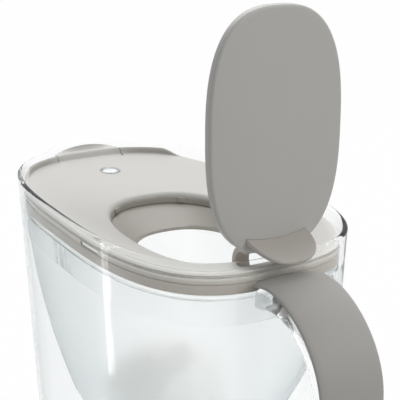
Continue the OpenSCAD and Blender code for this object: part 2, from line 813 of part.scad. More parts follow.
module hinge_arm() {
    mid = arm_out - arm_w / 2;
    swing = arm_r + arm_t;
    pin_l = seat_gap + cheek_t - 0.2;      // length of a trunnion outside its arm
    across(-arm_out, -arm_in) union() {
        intersection() {
            difference() {
                translate(arm_c) circle(r = arm_r + arm_t / 2);
                translate(arm_c) circle(r = arm_r - arm_t / 2);
            }
            polygon([
                [arm_c.x, pad_top], arm_c, [swing, arm_c.y + 2], [swing, arm_c.y - swing],
                [arm_c.x - swing, arm_c.y - swing], [arm_c.x - swing, pad_top]
            ]);
        }
        translate([pad_in - 1, pad_top - pad_t]) square([arm_c.x - arm_r + 1.5 - pad_in, pad_t]);
    }
    translate([0, -mid, 0]) rotate([90, 0, 0]) cylinder(r = cheek_r, h = arm_w, center = true);
    translate([0, -mid, 0]) rotate([90, 0, 0]) cylinder(r = pin_r, h = arm_w / 2 + pin_l);
}

module flip_lever() {
    color(soft_greige) opened() {
        translate([pad_in - pad_l, -arm_out, pad_top - pad_t]) cube([pad_l, 2 * arm_out, pad_t]);
        sides() hinge_arm();
        at_tab() rotate([0, -90, 0]) rotate([0, 0, -90]) linear_extrude(height = tab_t) tab_outline();
    }
}

// --- spout flap ---

function flap_section(y) =
    let (
        t = 1.5,
        base = -reach(rim_a - border_in, rim_b - border_in, rim_n, y),
        wall = -reach(rim_a - wall_t, rim_b - wall_t, rim_n, y) - spout_out * spout_across(y),
        crest = base - 3.4,
        tip = wall + 0.9,
        low = lid_z - 0.6,
        high = lid_z - 1.2 + ridge_h + 0.2,
        lip = high + shelf_rise * cos(90 * y / spout_half)
    ) [
        [base, y, low + 0.2], [lerp(base, crest, 0.5), y, lerp(low, high, 0.6)],
        [crest, y, high], [tip, y, lip - 0.3],
        [tip, y, lip - 0.3 - t], [crest + 0.8, y, high - t - 0.2], [base + 0.8, y, low - t],
        for (a = [-110 : 38 : 80]) [spout_hinge.x + barrel_r * cos(a), y, spout_hinge.y + barrel_r * sin(a)]
    ];

module spout_flap() {
    steps = 10;
    color(greige) {
        stack([for (i = [0 : steps]) flap_section(lerp(spout_half, -spout_half, i / steps))]);
        sides() translate([spout_hinge.x, spout_half - 1, spout_hinge.y]) rotate([-90, 0, 0])
            cylinder(r = spout_pin_r, h = spout_gap + 3.4, $fn = 32);
    }
}

// --- indicator ---

module at_led(z) {
    translate([led_x, 0, z]) children();
}

module indicator_bezel() {
    color([0.75, 0.76, 0.77]) at_led(led_z - lid_t) tube(bezel_r, led_d / 2, lid_t + proud);
}

module indicator_button() {
    foot = module_z - button_h;
    tip = board_z + switch_h + button_travel + 0.4;
    color([0.96, 0.98, 0.99]) at_led(0) rotate_extrude() polygon([
        [0, tip], [stem_r, tip], [stem_r, foot], [button_r, foot],
        [button_r, led_z], [button_r - 0.6, led_z + proud], [0, led_z + proud]
    ]);
}

module indicator_housing() {
    color([0.90, 0.90, 0.90]) at_led(module_z - module_h) {
        tube(module_r, module_r - module_t, module_h);
        translate([0, 0, module_h - module_t]) tube(module_r - 0.5, led_d / 2, module_t);
    }
}

module indicator_board() {
    color([0.13, 0.38, 0.22]) at_led(board_z - board_t) cylinder(r = board_r, h = board_t);
}

module indicator_switch() {
    color([0.12, 0.12, 0.12]) at_led(board_z + glue / 2) {
        translate([-3, -3, 0]) cube([6, 6, switch_h - 0.8]);
        cylinder(r = 1.7, h = switch_h - glue);
    }
}

module indicator_lamps() {
    lamp_r = 1.5;
    stand = 1.4;
    color([0.85, 0.90, 0.80]) at_led(board_z + glue / 2)
        for (i = [0 : 2]) rotate(120 * i + 60) translate([7.4, 0, 0]) {
            cylinder(r = lamp_r, h = stand, $fn = 32);
            translate([0, 0, stand]) intersection() {
                sphere(r = lamp_r, $fn = 32);
                cylinder(r = lamp_r + 1, h = lamp_r + 1, $fn = 32);
            }
        }
}

cell_z = board_z - board_t - 0.9 - cell_t;
door_z = module_z - module_h;
door_gap = cell_z - door_z - 0.05;     // height from the door to the cell's spring strip

module coin_cell() {
    color([0.72, 0.73, 0.74]) at_led(cell_z) {
        cylinder(r = cell_d / 2, h = cell_t * 0.7);
        translate([0, 0, cell_t * 0.7]) cylinder(r = cell_d / 2 - 1.6, h = cell_t * 0.3);
    }
}

// Spring strip between cell and door, with its two feet standing on the door
module cell_clip() {
    strip_l = 13;
    strip_w = 4;
    strip_t = 0.4;
    color([0.80, 0.74, 0.55]) at_led(cell_z) {
        translate([-strip_l / 2, -strip_w / 2, -strip_t - 0.05]) cube([strip_l, strip_w, strip_t]);
        for (x = [-strip_l / 2, strip_l / 2 - strip_t])
            translate([x, -strip_w / 2, -door_gap]) cube([strip_t, strip_w, door_gap - strip_t / 2]);
    }
}

door_t = 2;

module battery_door() {
    color([0.90, 0.90, 0.90]) at_led(door_z) difference() {
        union() {
            translate([0, 0, -door_t]) cylinder(r = module_r, h = door_t - glue);
            translate([0, 0, -0.5]) tube(module_r - module_t - 0.3, module_r - module_t - 1.6, 2.1);
        }
        translate([-7, -1, -door_t - 1]) cube([14, 2, 2]);
    }
}

module door_seal() {
    seal_r = module_r - module_t - glue;
    color([0.30, 0.31, 0.33]) at_led(door_z + 1.7) tube(seal_r, seal_r - 1.2, 1.2);
}

jug();
handle_rail();
grip();
funnel();
cartridge_shell();
cartridge_cap();
cartridge_gasket();
top_mesh();
bottom_mesh();
granule_bed();
pull_ring();
lid_cover();
lid_base();
flip_panel();
flip_lever();
spout_flap();
indicator_bezel();
indicator_button();
indicator_housing();
indicator_board();
indicator_lamps();
indicator_switch();
coin_cell();
cell_clip();
battery_door();
door_seal();
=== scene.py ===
import math

import bmesh
import bpy
from mathutils import Matrix, Vector


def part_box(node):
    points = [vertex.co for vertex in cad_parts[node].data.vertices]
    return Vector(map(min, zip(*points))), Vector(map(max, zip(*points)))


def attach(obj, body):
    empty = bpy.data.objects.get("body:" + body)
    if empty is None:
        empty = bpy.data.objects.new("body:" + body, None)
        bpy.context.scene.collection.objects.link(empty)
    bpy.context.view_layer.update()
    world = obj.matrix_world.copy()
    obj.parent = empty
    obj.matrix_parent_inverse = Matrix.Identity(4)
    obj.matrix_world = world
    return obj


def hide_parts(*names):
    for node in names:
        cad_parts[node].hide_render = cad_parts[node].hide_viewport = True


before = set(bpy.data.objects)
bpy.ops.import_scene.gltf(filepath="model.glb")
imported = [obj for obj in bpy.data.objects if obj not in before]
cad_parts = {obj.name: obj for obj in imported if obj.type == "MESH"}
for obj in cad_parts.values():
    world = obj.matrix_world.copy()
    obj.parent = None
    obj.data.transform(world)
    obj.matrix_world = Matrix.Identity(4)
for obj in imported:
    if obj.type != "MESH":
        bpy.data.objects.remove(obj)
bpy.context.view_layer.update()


# Camera. It stands a little above the lid on the handle's side, and looks down on the open flip lid
# with a long lens. The foot of the jug runs out of its view.
camera_azimuth = math.radians(60.08)
camera_elevation = math.radians(17.57)
camera_back = Vector((
    math.sin(camera_azimuth) * math.cos(camera_elevation),
    -math.cos(camera_azimuth) * math.cos(camera_elevation),
    math.sin(camera_elevation),
))
camera_data = bpy.data.cameras.new("camera")
camera_data.lens = 90
camera_data.sensor_width = 36
camera = bpy.data.objects.new("camera", camera_data)
camera.location = (0.4701, -0.2504, 0.4276)
camera.rotation_mode = "QUATERNION"
camera.rotation_quaternion = (-camera_back).to_track_quat("-Z", "Y")
bpy.context.scene.collection.objects.link(camera)
bpy.context.scene.camera = camera


# Floor and world. A pale table top runs on to a pale backdrop. What the camera, a gloss or a clear wall
# sees of either is white, with only a trace of the object's shadow left on the floor.
def new_finish(name):
    """A node material, its node tree and the shader that the finish is built on."""
    material = bpy.data.materials.new(name)
    material.use_nodes = True
    return material, material.node_tree, material.node_tree.nodes["Principled BSDF"]


def white_to_the_eye(tree):
    """A share of 1 for camera, glossy and transmission rays, and 0 for the light that falls on things."""
    path = tree.nodes.new("ShaderNodeLightPath")
    share = path.outputs["Is Camera Ray"]
    for kind in ("Is Glossy Ray", "Is Transmission Ray"):
        either = tree.nodes.new("ShaderNodeMath")
        either.operation = "MAXIMUM"
        tree.links.new(share, either.inputs[0])
        tree.links.new(path.outputs[kind], either.inputs[1])
        share = either.outputs[0]
    return share


def mix_to(surface, tree, share, first, second):
    """Gives a surface the first shader where the share is 0, and the second where it is 1."""
    mix = tree.nodes.new("ShaderNodeMixShader")
    tree.links.new(share, mix.inputs["Fac"])
    tree.links.new(first.outputs[0], mix.inputs[1])
    tree.links.new(second.outputs[0], mix.inputs[2])
    tree.links.new(mix.outputs[0], surface)


world = bpy.data.worlds.new("studio")
bpy.context.scene.world = world
world.use_nodes = True
sky_tree = world.node_tree
sky = sky_tree.nodes["Background"]
sky.inputs["Color"].default_value = (0.93, 0.96, 1.0, 1)
sky.inputs["Strength"].default_value = 0.38
white_sky = sky_tree.nodes.new("ShaderNodeBackground")
white_sky.inputs["Color"].default_value = (1, 1, 1, 1)
white_sky.inputs["Strength"].default_value = 1
mix_to(sky_tree.nodes["World Output"].inputs["Surface"], sky_tree, white_to_the_eye(sky_tree), sky, white_sky)

floor_mesh = bmesh.new()
bmesh.ops.create_grid(floor_mesh, x_segments=1, y_segments=1, size=4)
floor_data = bpy.data.meshes.new("table_top")
floor_mesh.to_mesh(floor_data)
floor_mesh.free()
table_top = bpy.data.objects.new("table_top", floor_data)
bpy.context.scene.collection.objects.link(table_top)
floor_paint, floor_tree, floor_shader = new_finish("pale_table")
floor_shader.inputs["Base Color"].default_value = (0.45, 0.45, 0.45, 1)
floor_shader.inputs["Roughness"].default_value = 0.7
floor_glow = floor_tree.nodes.new("ShaderNodeEmission")
floor_glow.inputs["Strength"].default_value = 1
seen_floor = floor_tree.nodes.new("ShaderNodeMixShader")
seen_floor.inputs["Fac"].default_value = 0.99
floor_tree.links.new(floor_shader.outputs[0], seen_floor.inputs[1])
floor_tree.links.new(floor_glow.outputs[0], seen_floor.inputs[2])
floor_surface = floor_tree.nodes["Material Output"].inputs["Surface"]
mix_to(floor_surface, floor_tree, white_to_the_eye(floor_tree), floor_shader, seen_floor)
floor_data.materials.append(floor_paint)


# Lamps. Two soft boxes stand high at the back and past the spout, so the lid's near edge is in shade. A
# third stands past the handle, and a thin strip card draws one upright line on the clear wall.
def soft_box(name, place, aim, size, watts, colour=(1.0, 0.99, 0.975)):
    """A rectangular lamp that looks at a point."""
    lamp = bpy.data.lights.new(name, "AREA")
    lamp.shape = "RECTANGLE"
    lamp.size, lamp.size_y = size
    lamp.energy = watts
    lamp.color = colour
    box = bpy.data.objects.new(name, lamp)
    box.location = place
    box.rotation_mode = "QUATERNION"
    box.rotation_quaternion = (Vector(aim) - Vector(place)).to_track_quat("-Z", "Y")
    bpy.context.scene.collection.objects.link(box)


lid_middle = (0, 0, 0.25)
soft_box("overhead_box", (-0.45, 0.6, 1.5), lid_middle, (1.0, 1.0), 9)
soft_box("key_box", (-1.1, 0.25, 1.15), lid_middle, (0.8, 0.8), 4)
soft_box("handle_box", (1.3, 0.5, 1.1), (0.1, 0, 0.3), (0.7, 0.7), 6, (1.0, 0.99, 0.97))
soft_box("strip_card", (-0.178, -0.253, 0.085), (0.053, -0.064, 0.225), (0.012, 0.11), 0.03, (1.0, 1.0, 1.0))


# Jug. One injection moulding in clear styrene: an oval wall that leans in towards the foot, a rolled
# rim that bulges and rises into the spout, and a small ledge inside, faded out below, for the funnel.
rim_height = 0.264
rim_half_length = 0.1145
rim_half_width = 0.068
rim_squareness = 3.0
lean_in = 0.009
jug_wall = 0.0026
jug_floor = 0.004
foot_radius = 0.006
spout_bulge = 0.0055
spout_rise = 0.003
spout_half_width = 0.034
spout_flat_half = 0.014
spout_height = 0.055
spout_turn_up = rim_height - spout_height * 0.68
ledge_height = 0.2443
ledge_depth = 0.0016
ledge_profile = (
    (0.0004, 0), (0, 0.0003), (0, ledge_depth - 0.0004), (-0.0004, ledge_depth), (-0.0022, ledge_depth),
    (-0.0050, ledge_depth - 0.0002), (-0.0090, ledge_depth * 0.5), (-0.0130, 0.0001), (-0.0150, 0),
)
round_count = 360
arc_steps = 8
wall_steps = 8
spout_steps = 12
ledge_step = 5


def oval_point(half_length, half_width, squareness, turn):
    """A point of a squared oval, spaced as on an ellipse."""
    c, s = math.cos(turn), math.sin(turn)
    reach = (abs(c) ** squareness + abs(s) ** squareness) ** (1 / squareness)
    return half_length * c / reach, half_width * s / reach


def ease(share):
    share = min(1, max(0, share))
    return share * share * (3 - 2 * share)


def spout_across(y):
    return ease((spout_half_width - abs(y)) / (spout_half_width - spout_flat_half))


def spout_upward(height):
    return ease((height - rim_height + spout_height) / spout_height)


def wall_ring(height, inset, bulge=1.0, lift=0.0):
    """A level ring that follows the jug's wall, that far inside its outer face."""
    lean = lean_in * (1 - min(height, rim_height) / rim_height)
    half_length, half_width = rim_half_length - lean - inset, rim_half_width - lean - inset
    points = []
    for i in range(round_count):
        x, y = oval_point(half_length, half_width, rim_squareness, math.tau * i / round_count)
        share = spout_across(y) if x < 0 else 0
        out = share * bulge * spout_bulge * spout_upward(height)
        points.append(Vector((x - out, y, height + lift * share)))
    return points


def foot_rings(floor, radius, inset):
    """The rounded corner between the floor and the wall, from the floor up."""
    turns = [math.pi / 2 * step / arc_steps for step in range(arc_steps + 1)]
    return [wall_ring(floor + radius * (1 - math.cos(t)), inset + radius * (1 - math.sin(t))) for t in turns]


def spout_ring(step, inset):
    """A ring of the wall between the spout's foot and the rim, which rises as it turns up at the spout."""
    height = rim_height - spout_height + (spout_height - jug_wall / 2) * step / spout_steps
    lift = spout_rise * ease((height - spout_turn_up) / (rim_height - spout_turn_up))
    return wall_ring(height, inset, 1, lift)


def loft(rings, hoop=False):
    """A skin extruded from ring to ring, as a bmesh. Its ends are capped, or joined up as a hoop."""
    bm = bmesh.new()
    count = len(rings[0])
    first = ring = bmesh.ops.create_circle(bm, segments=count, radius=1)["verts"]
    for vert, point in zip(ring, rings[0]):
        vert.co = point
    for points in rings[1:]:
        edges = [bm.edges.get((ring[i], ring[(i + 1) % count])) for i in range(count)]
        grown = bmesh.ops.extrude_edge_only(bm, edges=edges)["geom"]
        fresh = {item for item in grown if isinstance(item, bmesh.types.BMVert)}
        ring = [next(e.other_vert(v) for e in v.link_edges if e.other_vert(v) in fresh) for v in ring]
        for vert, point in zip(ring, points):
            vert.co = point
    ends = []
    for end in (first, ring):
        ends.append([bm.edges.get((end[i], end[(i + 1) % count])) for i in range(count)])
    if hoop:
        bmesh.ops.bridge_loops(bm, edges=ends[0] + ends[1])
    else:
        for edges in ends:
            bmesh.ops.edgeloop_fill(bm, edges=edges)
    return bm


def add_piece(bm, name, body, material, nodes=(), crease=35):
    """Turns a finished bmesh into a piece that rides on a body and stands for those CAD nodes."""
    bmesh.ops.remove_doubles(bm, verts=bm.verts, dist=1e-7)
    bmesh.ops.recalc_face_normals(bm, faces=bm.faces)
    mesh = bpy.data.meshes.new(name)
    bm.to_mesh(mesh)
    bm.free()
    mesh.shade_smooth()
    mesh.set_sharp_from_angle(angle=math.radians(crease))
    mesh.materials.append(material)
    piece = bpy.data.objects.new(name, mesh)
    bpy.context.scene.collection.objects.link(piece)
    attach(piece, body)
    if nodes:
        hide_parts(*nodes)
    return piece


def texture(tree, kind, scale):
    """A pattern on the piece's own coordinates."""
    place = tree.nodes.new("ShaderNodeTexCoord")
    pattern = tree.nodes.new("ShaderNodeTex" + kind)
    pattern.inputs["Scale"].default_value = scale
    tree.links.new(place.outputs["Object"], pattern.inputs["Vector"])
    return pattern


def fleck(tree, scale, detail):
    """Soft flecks of that scale."""
    noise = texture(tree, "Noise", scale)
    noise.inputs["Detail"].default_value = detail
    return noise.outputs["Fac"]


def tint_between(tree, share, low, high, start=0, end=1):
    """Base colour that goes from one tone to another, as the share goes from start to end."""
    ramp = tree.nodes.new("ShaderNodeValToRGB")
    for stop, position, colour in zip(ramp.color_ramp.elements, (start, end), (low, high)):
        stop.position = position
        stop.color = (*colour, 1)
    tree.links.new(share, ramp.inputs["Fac"])
    tree.links.new(ramp.outputs["Color"], tree.nodes["Principled BSDF"].inputs["Base Color"])


def gloss_between(tree, share, low, high):
    """Roughness that drifts between two values."""
    span = tree.nodes.new("ShaderNodeMapRange")
    span.inputs["To Min"].default_value = low
    span.inputs["To Max"].default_value = high
    tree.links.new(share, span.inputs["Value"])
    tree.links.new(span.outputs["Result"], tree.nodes["Principled BSDF"].inputs["Roughness"])


def edge_share(tree, blend):
    """A share that grows as the surface turns edge on."""
    edge = tree.nodes.new("ShaderNodeLayerWeight")
    edge.inputs["Blend"].default_value = blend
    return edge.outputs["Facing"]


def pass_lamplight(tree, colour):
    """Lets the lamps' light straight through in that colour, while all other rays meet the plastic."""
    path = tree.nodes.new("ShaderNodeLightPath")
    window = tree.nodes.new("ShaderNodeBsdfTransparent")
    window.inputs["Color"].default_value = (*colour, 1)
    surface = tree.nodes["Material Output"].inputs["Surface"]
    mix_to(surface, tree, path.outputs["Is Shadow Ray"], tree.nodes["Principled BSDF"], window)


def clear_styrene(name, edge_tint, bend, coat):
    """Clear moulded plastic, greyer where the wall is seen edge on."""
    tint = (0.985, 0.992, 0.992)
    material, tree, shader = new_finish(name)
    shader.inputs["Transmission Weight"].default_value = 1
    shader.inputs["IOR"].default_value = bend
    shader.inputs["Coat Weight"].default_value = coat
    shader.inputs["Coat Roughness"].default_value = 0.08
    tint_between(tree, edge_share(tree, 0.3), tint, edge_tint, 0.35, 0.9)
    gloss_between(tree, fleck(tree, 60, 3), 0.0, 0.03)
    pass_lamplight(tree, tint)
    return material


straight_wall = rim_height - spout_height - foot_radius
wall_heights = [foot_radius + straight_wall * step / wall_steps for step in range(1, wall_steps + 1)]
jug_rings = foot_rings(0, foot_radius, 0)
jug_rings += [wall_ring(height, 0) for height in wall_heights]
jug_rings += [spout_ring(step, 0) for step in range(1, spout_steps + 1)]
for step in range(arc_steps + 1):
    turn = math.pi * step / arc_steps
    ring = wall_ring(rim_height, jug_wall / 2 * (1 - math.cos(turn)), 1, spout_rise)
    drop = jug_wall / 2 * (1 - math.sin(turn))
    jug_rings.append([p - Vector((0, 0, drop)) for p in ring])
jug_rings += [spout_ring(step, jug_wall) for step in range(spout_steps - 1, ledge_step - 1, -1)]
jug_rings += [wall_ring(ledge_height + rise, jug_wall + out) for rise, out in ledge_profile]
jug_rings += [wall_ring(height, jug_wall) for height in reversed(wall_heights)]
jug_rings += reversed(foot_rings(jug_floor, foot_radius - jug_wall, jug_wall))
jug_plastic = clear_styrene("clear_styrene", (0.56, 0.61, 0.62), 1.06, 0.35)
add_piece(loft(jug_rings), "clear_jug", "jug_body", jug_plastic, ["jug"])


# Handle. A clear bar bonded to the wall at both ends, and over its outside the wide soft grip, a strip
# with a low crown and rounded edges that takes the palm.
grip_reach = 0.056
grip_drop = 0.0096
handle_height = 0.202
grip_width = 0.034
grip_thickness = 0.0032
rail_width = 0.033
rail_depth = 0.0058
rail_root = 0.0052
grip_crown = 0.0012
bond_gap = 0.0001
upper_length = 0.045
grip_shoulder = 0.008
handle_steps = 40
bar_points = 96


def bezier(points, share):
    rest = 1 - share
    weights = (rest ** 3, 3 * rest * rest * share, 3 * rest * share * share, share ** 3)
    return sum((w * Vector(p) for w, p in zip(weights, points)), Vector((0, 0)))


def wall_x(height):
    return rim_half_length - lean_in * (1 - height / rim_height)


grip_top = rim_height - grip_drop
grip_foot = grip_top - handle_height
grip_mid = grip_top - upper_length
grip_x = rim_half_length + grip_reach
upper_curve = [
    (wall_x(grip_top) + bond_gap, grip_top), (rim_half_length + 0.35 * grip_reach, grip_top + grip_shoulder),
    (grip_x, grip_top - 0.0113), (grip_x, grip_mid),
]
lower_curve = [
    (grip_x, grip_mid), (grip_x, grip_mid - 0.48 * (grip_mid - grip_foot)),
    (rim_half_length + 0.5 * grip_reach, grip_foot + 0.010),
    (wall_x(grip_foot + grip_thickness + rail_depth) + bond_gap, grip_foot),
]
handle_line = [bezier(upper_curve, i / handle_steps) for i in range(handle_steps + 1)]
handle_line += [bezier(lower_curve, i / handle_steps) for i in range(1, handle_steps + 1)]


def handle_heading(i):
    if i == 0:
        return Vector((1, 0))
    if i == len(handle_line) - 1:
        return Vector((-1, 0))
    return (handle_line[i + 1] - handle_line[i - 1]).normalized()


def handle_ring(section, i):
    """A section of (across, depth) points, set square to the handle's line."""
    along = handle_heading(i)
    x, z = handle_line[i]
    return [Vector((x + along.y * depth, across, z - along.x * depth)) for across, depth in section]


def bar_section(half_width, top, foot, crown, squareness):
    """A squared oval of (across, depth) points, bent to a low crown across its width."""
    points = []
    for i in range(bar_points):
        across, depth = oval_point(half_width, (foot - top) / 2, squareness, math.tau * i / bar_points)
        points.append((across, (top + foot) / 2 + depth + crown * (across / half_width) ** 2))
    return points


def shade(colour, share):
    """A colour made deeper or paler."""
    return [min(1, c * share) for c in colour]


def bump(tree, height, distance, strength=1.0, invert=False):
    """Raises and sinks the surface by a texture's height."""
    relief = tree.nodes.new("ShaderNodeBump")
    relief.invert = invert
    relief.inputs["Strength"].default_value = strength
    relief.inputs["Distance"].default_value = distance
    tree.links.new(height, relief.inputs["Height"])
    tree.links.new(relief.outputs["Normal"], tree.nodes["Principled BSDF"].inputs["Normal"])


def soft_touch(name, colour, grain_scale):
    """Matte soft-touch skin: a very fine grain and slow cloudy changes of tone where it has been handled."""
    material, tree, shader = new_finish(name)
    shader.inputs["Specular IOR Level"].default_value = 0.4
    cloud = fleck(tree, 14, 4)
    tint_between(tree, cloud, shade(colour, 0.965), shade(colour, 1.03), 0.3, 0.7)
    gloss_between(tree, cloud, 0.48, 0.62)
    bump(tree, fleck(tree, grain_scale, 2), 0.0002, 0.12)
    return material


rail_crown = grip_crown * (rail_width / grip_width) ** 2
root_steps = handle_steps * 10 / 14
rail_rings = []
for i in range(len(handle_line)):
    foot = grip_thickness + rail_depth + rail_root * (1 - min(1, i / root_steps) ** 2) ** 2
    rail_section = bar_section(rail_width / 2, grip_thickness + bond_gap, foot, rail_crown, 5)
    rail_rings.append(handle_ring(rail_section, i))
bar_plastic = clear_styrene("clear_bar_styrene", (0.50, 0.57, 0.59), 1.22, 0.3)
bar = loft(rail_rings)
add_piece(bar, "clear_handle_bar", "jug_body", bar_plastic, ["handle_rail"], crease=70)

grip_skin = soft_touch("soft_greige_grip", (0.470, 0.452, 0.425), 2400)
grip_section = bar_section(grip_width / 2, 0, grip_thickness, grip_crown, 4)
grip = loft([handle_ring(grip_section, i) for i in range(len(handle_line))])
add_piece(grip, "soft_grip", "jug_body", grip_skin, ["grip"])


# Funnel. A thin milky insert that hangs by its flange from the jug's ledge, narrows all the way down to
# an oval floor, and ends in the round seat of the cartridge. One moulding, open at both ends.
flange_top = 0.2466
flange_thickness = 0.002
funnel_wall = 0.0018
funnel_depth = 0.107
floor_half_length = 0.073
floor_half_width = 0.047
floor_squareness = 2.5
seat_x = -0.006
seat_radius = 0.0324
seat_depth = 0.050
seat_lip = 0.005
seat_shoulder = 0.005
spout_channel = 0.005
mouth_inset = jug_wall + ledge_depth + 0.0005
funnel_steps = 12


def lerp(p, q, share):
    return p + (q - p) * share


def funnel_ring(share, less):
    """A ring of the funnel's wall, from the flange at 0 down to the floor at 1, less a thickness."""
    height = flange_top - flange_thickness
    lean = lean_in * (1 - height / rim_height)
    taper = share ** 2
    a = lerp(rim_half_length - lean - mouth_inset, floor_half_length, taper) - less
    b = lerp(rim_half_width - lean - mouth_inset, floor_half_width, taper) - less
    squareness = lerp(rim_squareness, floor_squareness, taper)
    points = []
    for i in range(round_count):
        x, y = oval_point(a, b, squareness, math.tau * i / round_count)
        back = spout_channel * spout_across(y) * (1 - taper) if x < 0 else 0
        points.append(Vector((x + seat_x * taper + back, y, height - funnel_depth * share)))
    return points


def level_oval(centre_x, half_length, half_width, squareness, height, count=round_count):
    points = [oval_point(half_length, half_width, squareness, math.tau * i / count) for i in range(count)]
    return [Vector((centre_x + x, y, height)) for x, y in points]


def seat_ring(grow, height):
    """A round ring of the cartridge's seat, that far outside its bore."""
    return level_oval(seat_x, seat_radius + grow, seat_radius + grow, 2, height)


def floor_ring(length_share, width_share, squareness, height):
    """A ring of the floor, at a share of the way from the round seat out to the oval wall."""
    half_length = lerp(seat_radius, floor_half_length, length_share)
    half_width = lerp(seat_radius, floor_half_width, width_share)
    return level_oval(seat_x, half_length, half_width, squareness, height)


def flange_ring(height, gap):
    """A ring of the flange's edge, that far inside the jug's wall and set back behind the spout."""
    points = wall_ring(height, jug_wall + gap, 0)
    for p in points:
        if p.x < 0:
            p.x += spout_channel * spout_across(p.y)
    return points


def mouth_ring(less, height):
    """The funnel's mouth, brought level with the flange's top."""
    return [Vector((p.x, p.y, height)) for p in funnel_ring(0, less)]


def milky_plastic(name, colour, edge_colour, clearness):
    """Thin frosted plastic that lets most of the light through, and looks greyer where it is seen edge on."""
    material, tree, shader = new_finish(name)
    shader.inputs["Transmission Weight"].default_value = clearness
    shader.inputs["IOR"].default_value = 1.06
    tint_between(tree, edge_share(tree, 0.4), colour, edge_colour, 0.2)
    gloss_between(tree, fleck(tree, 22, 3), 0.52, 0.62)
    pass_lamplight(tree, shade(colour, 0.85))
    return material


flange_foot = flange_top - flange_thickness
floor_height = flange_foot - funnel_depth
seat_top = floor_height - seat_shoulder
seat_foot = seat_top - seat_depth
seat_floor = seat_foot + funnel_wall
funnel_rings = [
    flange_ring(flange_foot, 0.0008), flange_ring(flange_foot + 0.0003, 0.0005),
    flange_ring(flange_top - 0.0003, 0.0005), flange_ring(flange_top, 0.0008),
    mouth_ring(funnel_wall - 0.0005, flange_top), mouth_ring(funnel_wall, flange_top - 0.0005),
]
funnel_rings += [funnel_ring(step / funnel_steps, funnel_wall) for step in range(funnel_steps + 1)]
funnel_rings += [
    floor_ring(0.9, 0.8, 2.4, floor_height - 0.0024), floor_ring(0.3, 0.3, 2.05, seat_top + 0.0010),
    seat_ring(0.001, seat_top + 0.0004), seat_ring(0, seat_top - 0.0006),
    seat_ring(0, seat_floor + 0.0003), seat_ring(-0.0003, seat_floor),
    seat_ring(-seat_lip, seat_floor), seat_ring(-seat_lip, seat_foot),
    seat_ring(funnel_wall - 0.001, seat_foot), seat_ring(funnel_wall, seat_foot + 0.001),
    seat_ring(funnel_wall, seat_top - 0.0022), floor_ring(0.94, 0.88, 2.4, floor_height - 0.0042),
]
funnel_rings += [funnel_ring(step / funnel_steps, 0) for step in range(funnel_steps, -1, -1)]
milky = milky_plastic("milky_funnel_plastic", (0.99, 0.995, 0.995), (0.82, 0.86, 0.87), 0.92)
funnel = loft(funnel_rings, hoop=True)
add_piece(funnel, "milky_funnel", "funnel_body", milky, ["funnel"])


# Cartridge. The CAD's own cup, cap, pull ring, gasket, screens and bed keep their shapes and get their
# finishes: white moulded plastic, pale rubber, woven screen and black carbon beads.
def moulded_plastic(name, colour, roughness, grain_depth, grain_scale=900):
    """Solid moulded plastic with a fine spark-eroded grain and a slight drift of tone and gloss."""
    material, tree, shader = new_finish(name)
    drift = fleck(tree, 11, 5)
    tint_between(tree, drift, shade(colour, 0.98), shade(colour, 1.02), 0.3, 0.7)
    gloss_between(tree, drift, roughness - 0.04, roughness + 0.05)
    bump(tree, fleck(tree, grain_scale, 2), 0.0002, grain_depth)
    return material


def woven_screen(name, colour, pitch):
    """A fine woven screen: threads both ways, as a bump and a darker weave between them."""
    material, tree, shader = new_finish(name)
    shader.inputs["Roughness"].default_value = 0.5
    weave = tree.nodes.new("ShaderNodeMath")
    weave.operation = "MAXIMUM"
    for number, direction in enumerate(("X", "Y")):
        wave = texture(tree, "Wave", 1 / (pitch * 20))
        wave.bands_direction = direction
        tree.links.new(wave.outputs["Fac"], weave.inputs[number])
    tint_between(tree, weave.outputs[0], shade(colour, 0.35), colour)
    bump(tree, weave.outputs[0], 0.0003)
    return material


def carbon_beads(name):
    """Black carbon granules among paler resin beads, as cells of their own size."""
    material, tree, shader = new_finish(name)
    shader.inputs["Roughness"].default_value = 0.65
    bead = texture(tree, "Voronoi", 900)
    tint_between(tree, bead.outputs["Color"], (0.012, 0.011, 0.010), (0.42, 0.33, 0.20), 0.62, 0.7)
    bump(tree, bead.outputs["Distance"], 0.0006, invert=True)
    return material


def finish_node(material, *nodes):
    """Gives CAD nodes that keep their own shape a finish."""
    for node in nodes:
        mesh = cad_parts[node].data
        mesh.materials.clear()
        mesh.materials.append(material)


white_moulding = moulded_plastic("white_moulding", (0.83, 0.84, 0.83), 0.36, 0.05)
finish_node(white_moulding, "cartridge_shell", "cartridge_cap", "pull_ring")
finish_node(moulded_plastic("pale_rubber", (0.62, 0.64, 0.64), 0.6, 0.15, 1500), "cartridge_gasket")
finish_node(woven_screen("woven_screen", (0.72, 0.73, 0.74), 0.0006), "top_mesh", "bottom_mesh")
finish_node(carbon_beads("carbon_beads"), "granule_bed")


# Lid base. The lower half of the lid in satin greige plastic, its greige made deeper than the cover's
# as painted shade: the band under the seam, the chute down to the fill hole, and the two hinge cheeks
# with their bores. White clips with a springy tongue and a nose each snap into the cover's slots.
lid_top = rim_height - 0.0058
seam_height = lid_top - 0.006
lid_foot = lid_top - 0.0113
lid_wall = 0.0018
lid_inset = jug_wall + 0.0005
border_inset = lid_inset + 0.0028
dish_depth = 0.0048
dish_foot = lid_top - dish_depth
step_height = dish_foot - 0.0063
hole_height = step_height - 0.007
opening_half_length = 0.0613
opening_half_width = 0.0379
opening_squareness = 2.35
opening_x = rim_half_length - 0.0229 - opening_half_length
step_in = 0.0016
hole_half_length = 0.0446
hole_half_width = 0.0309
hole_x = opening_x + opening_half_length - step_in - 0.006 - hole_half_length
hinge_x = rim_half_length - 0.0147
hinge_height = rim_height - 0.0143
pin_radius = 0.002
pin_gap = 0.00006
ear_wall = 0.0014
ear_round = 0.0003
arm_inner = 0.007
arm_outer = 0.015
cheek_gap = 0.0003
cheek_thickness = 0.0026
module_radius = 0.0135
indicator_x = -rim_half_length + 0.0372
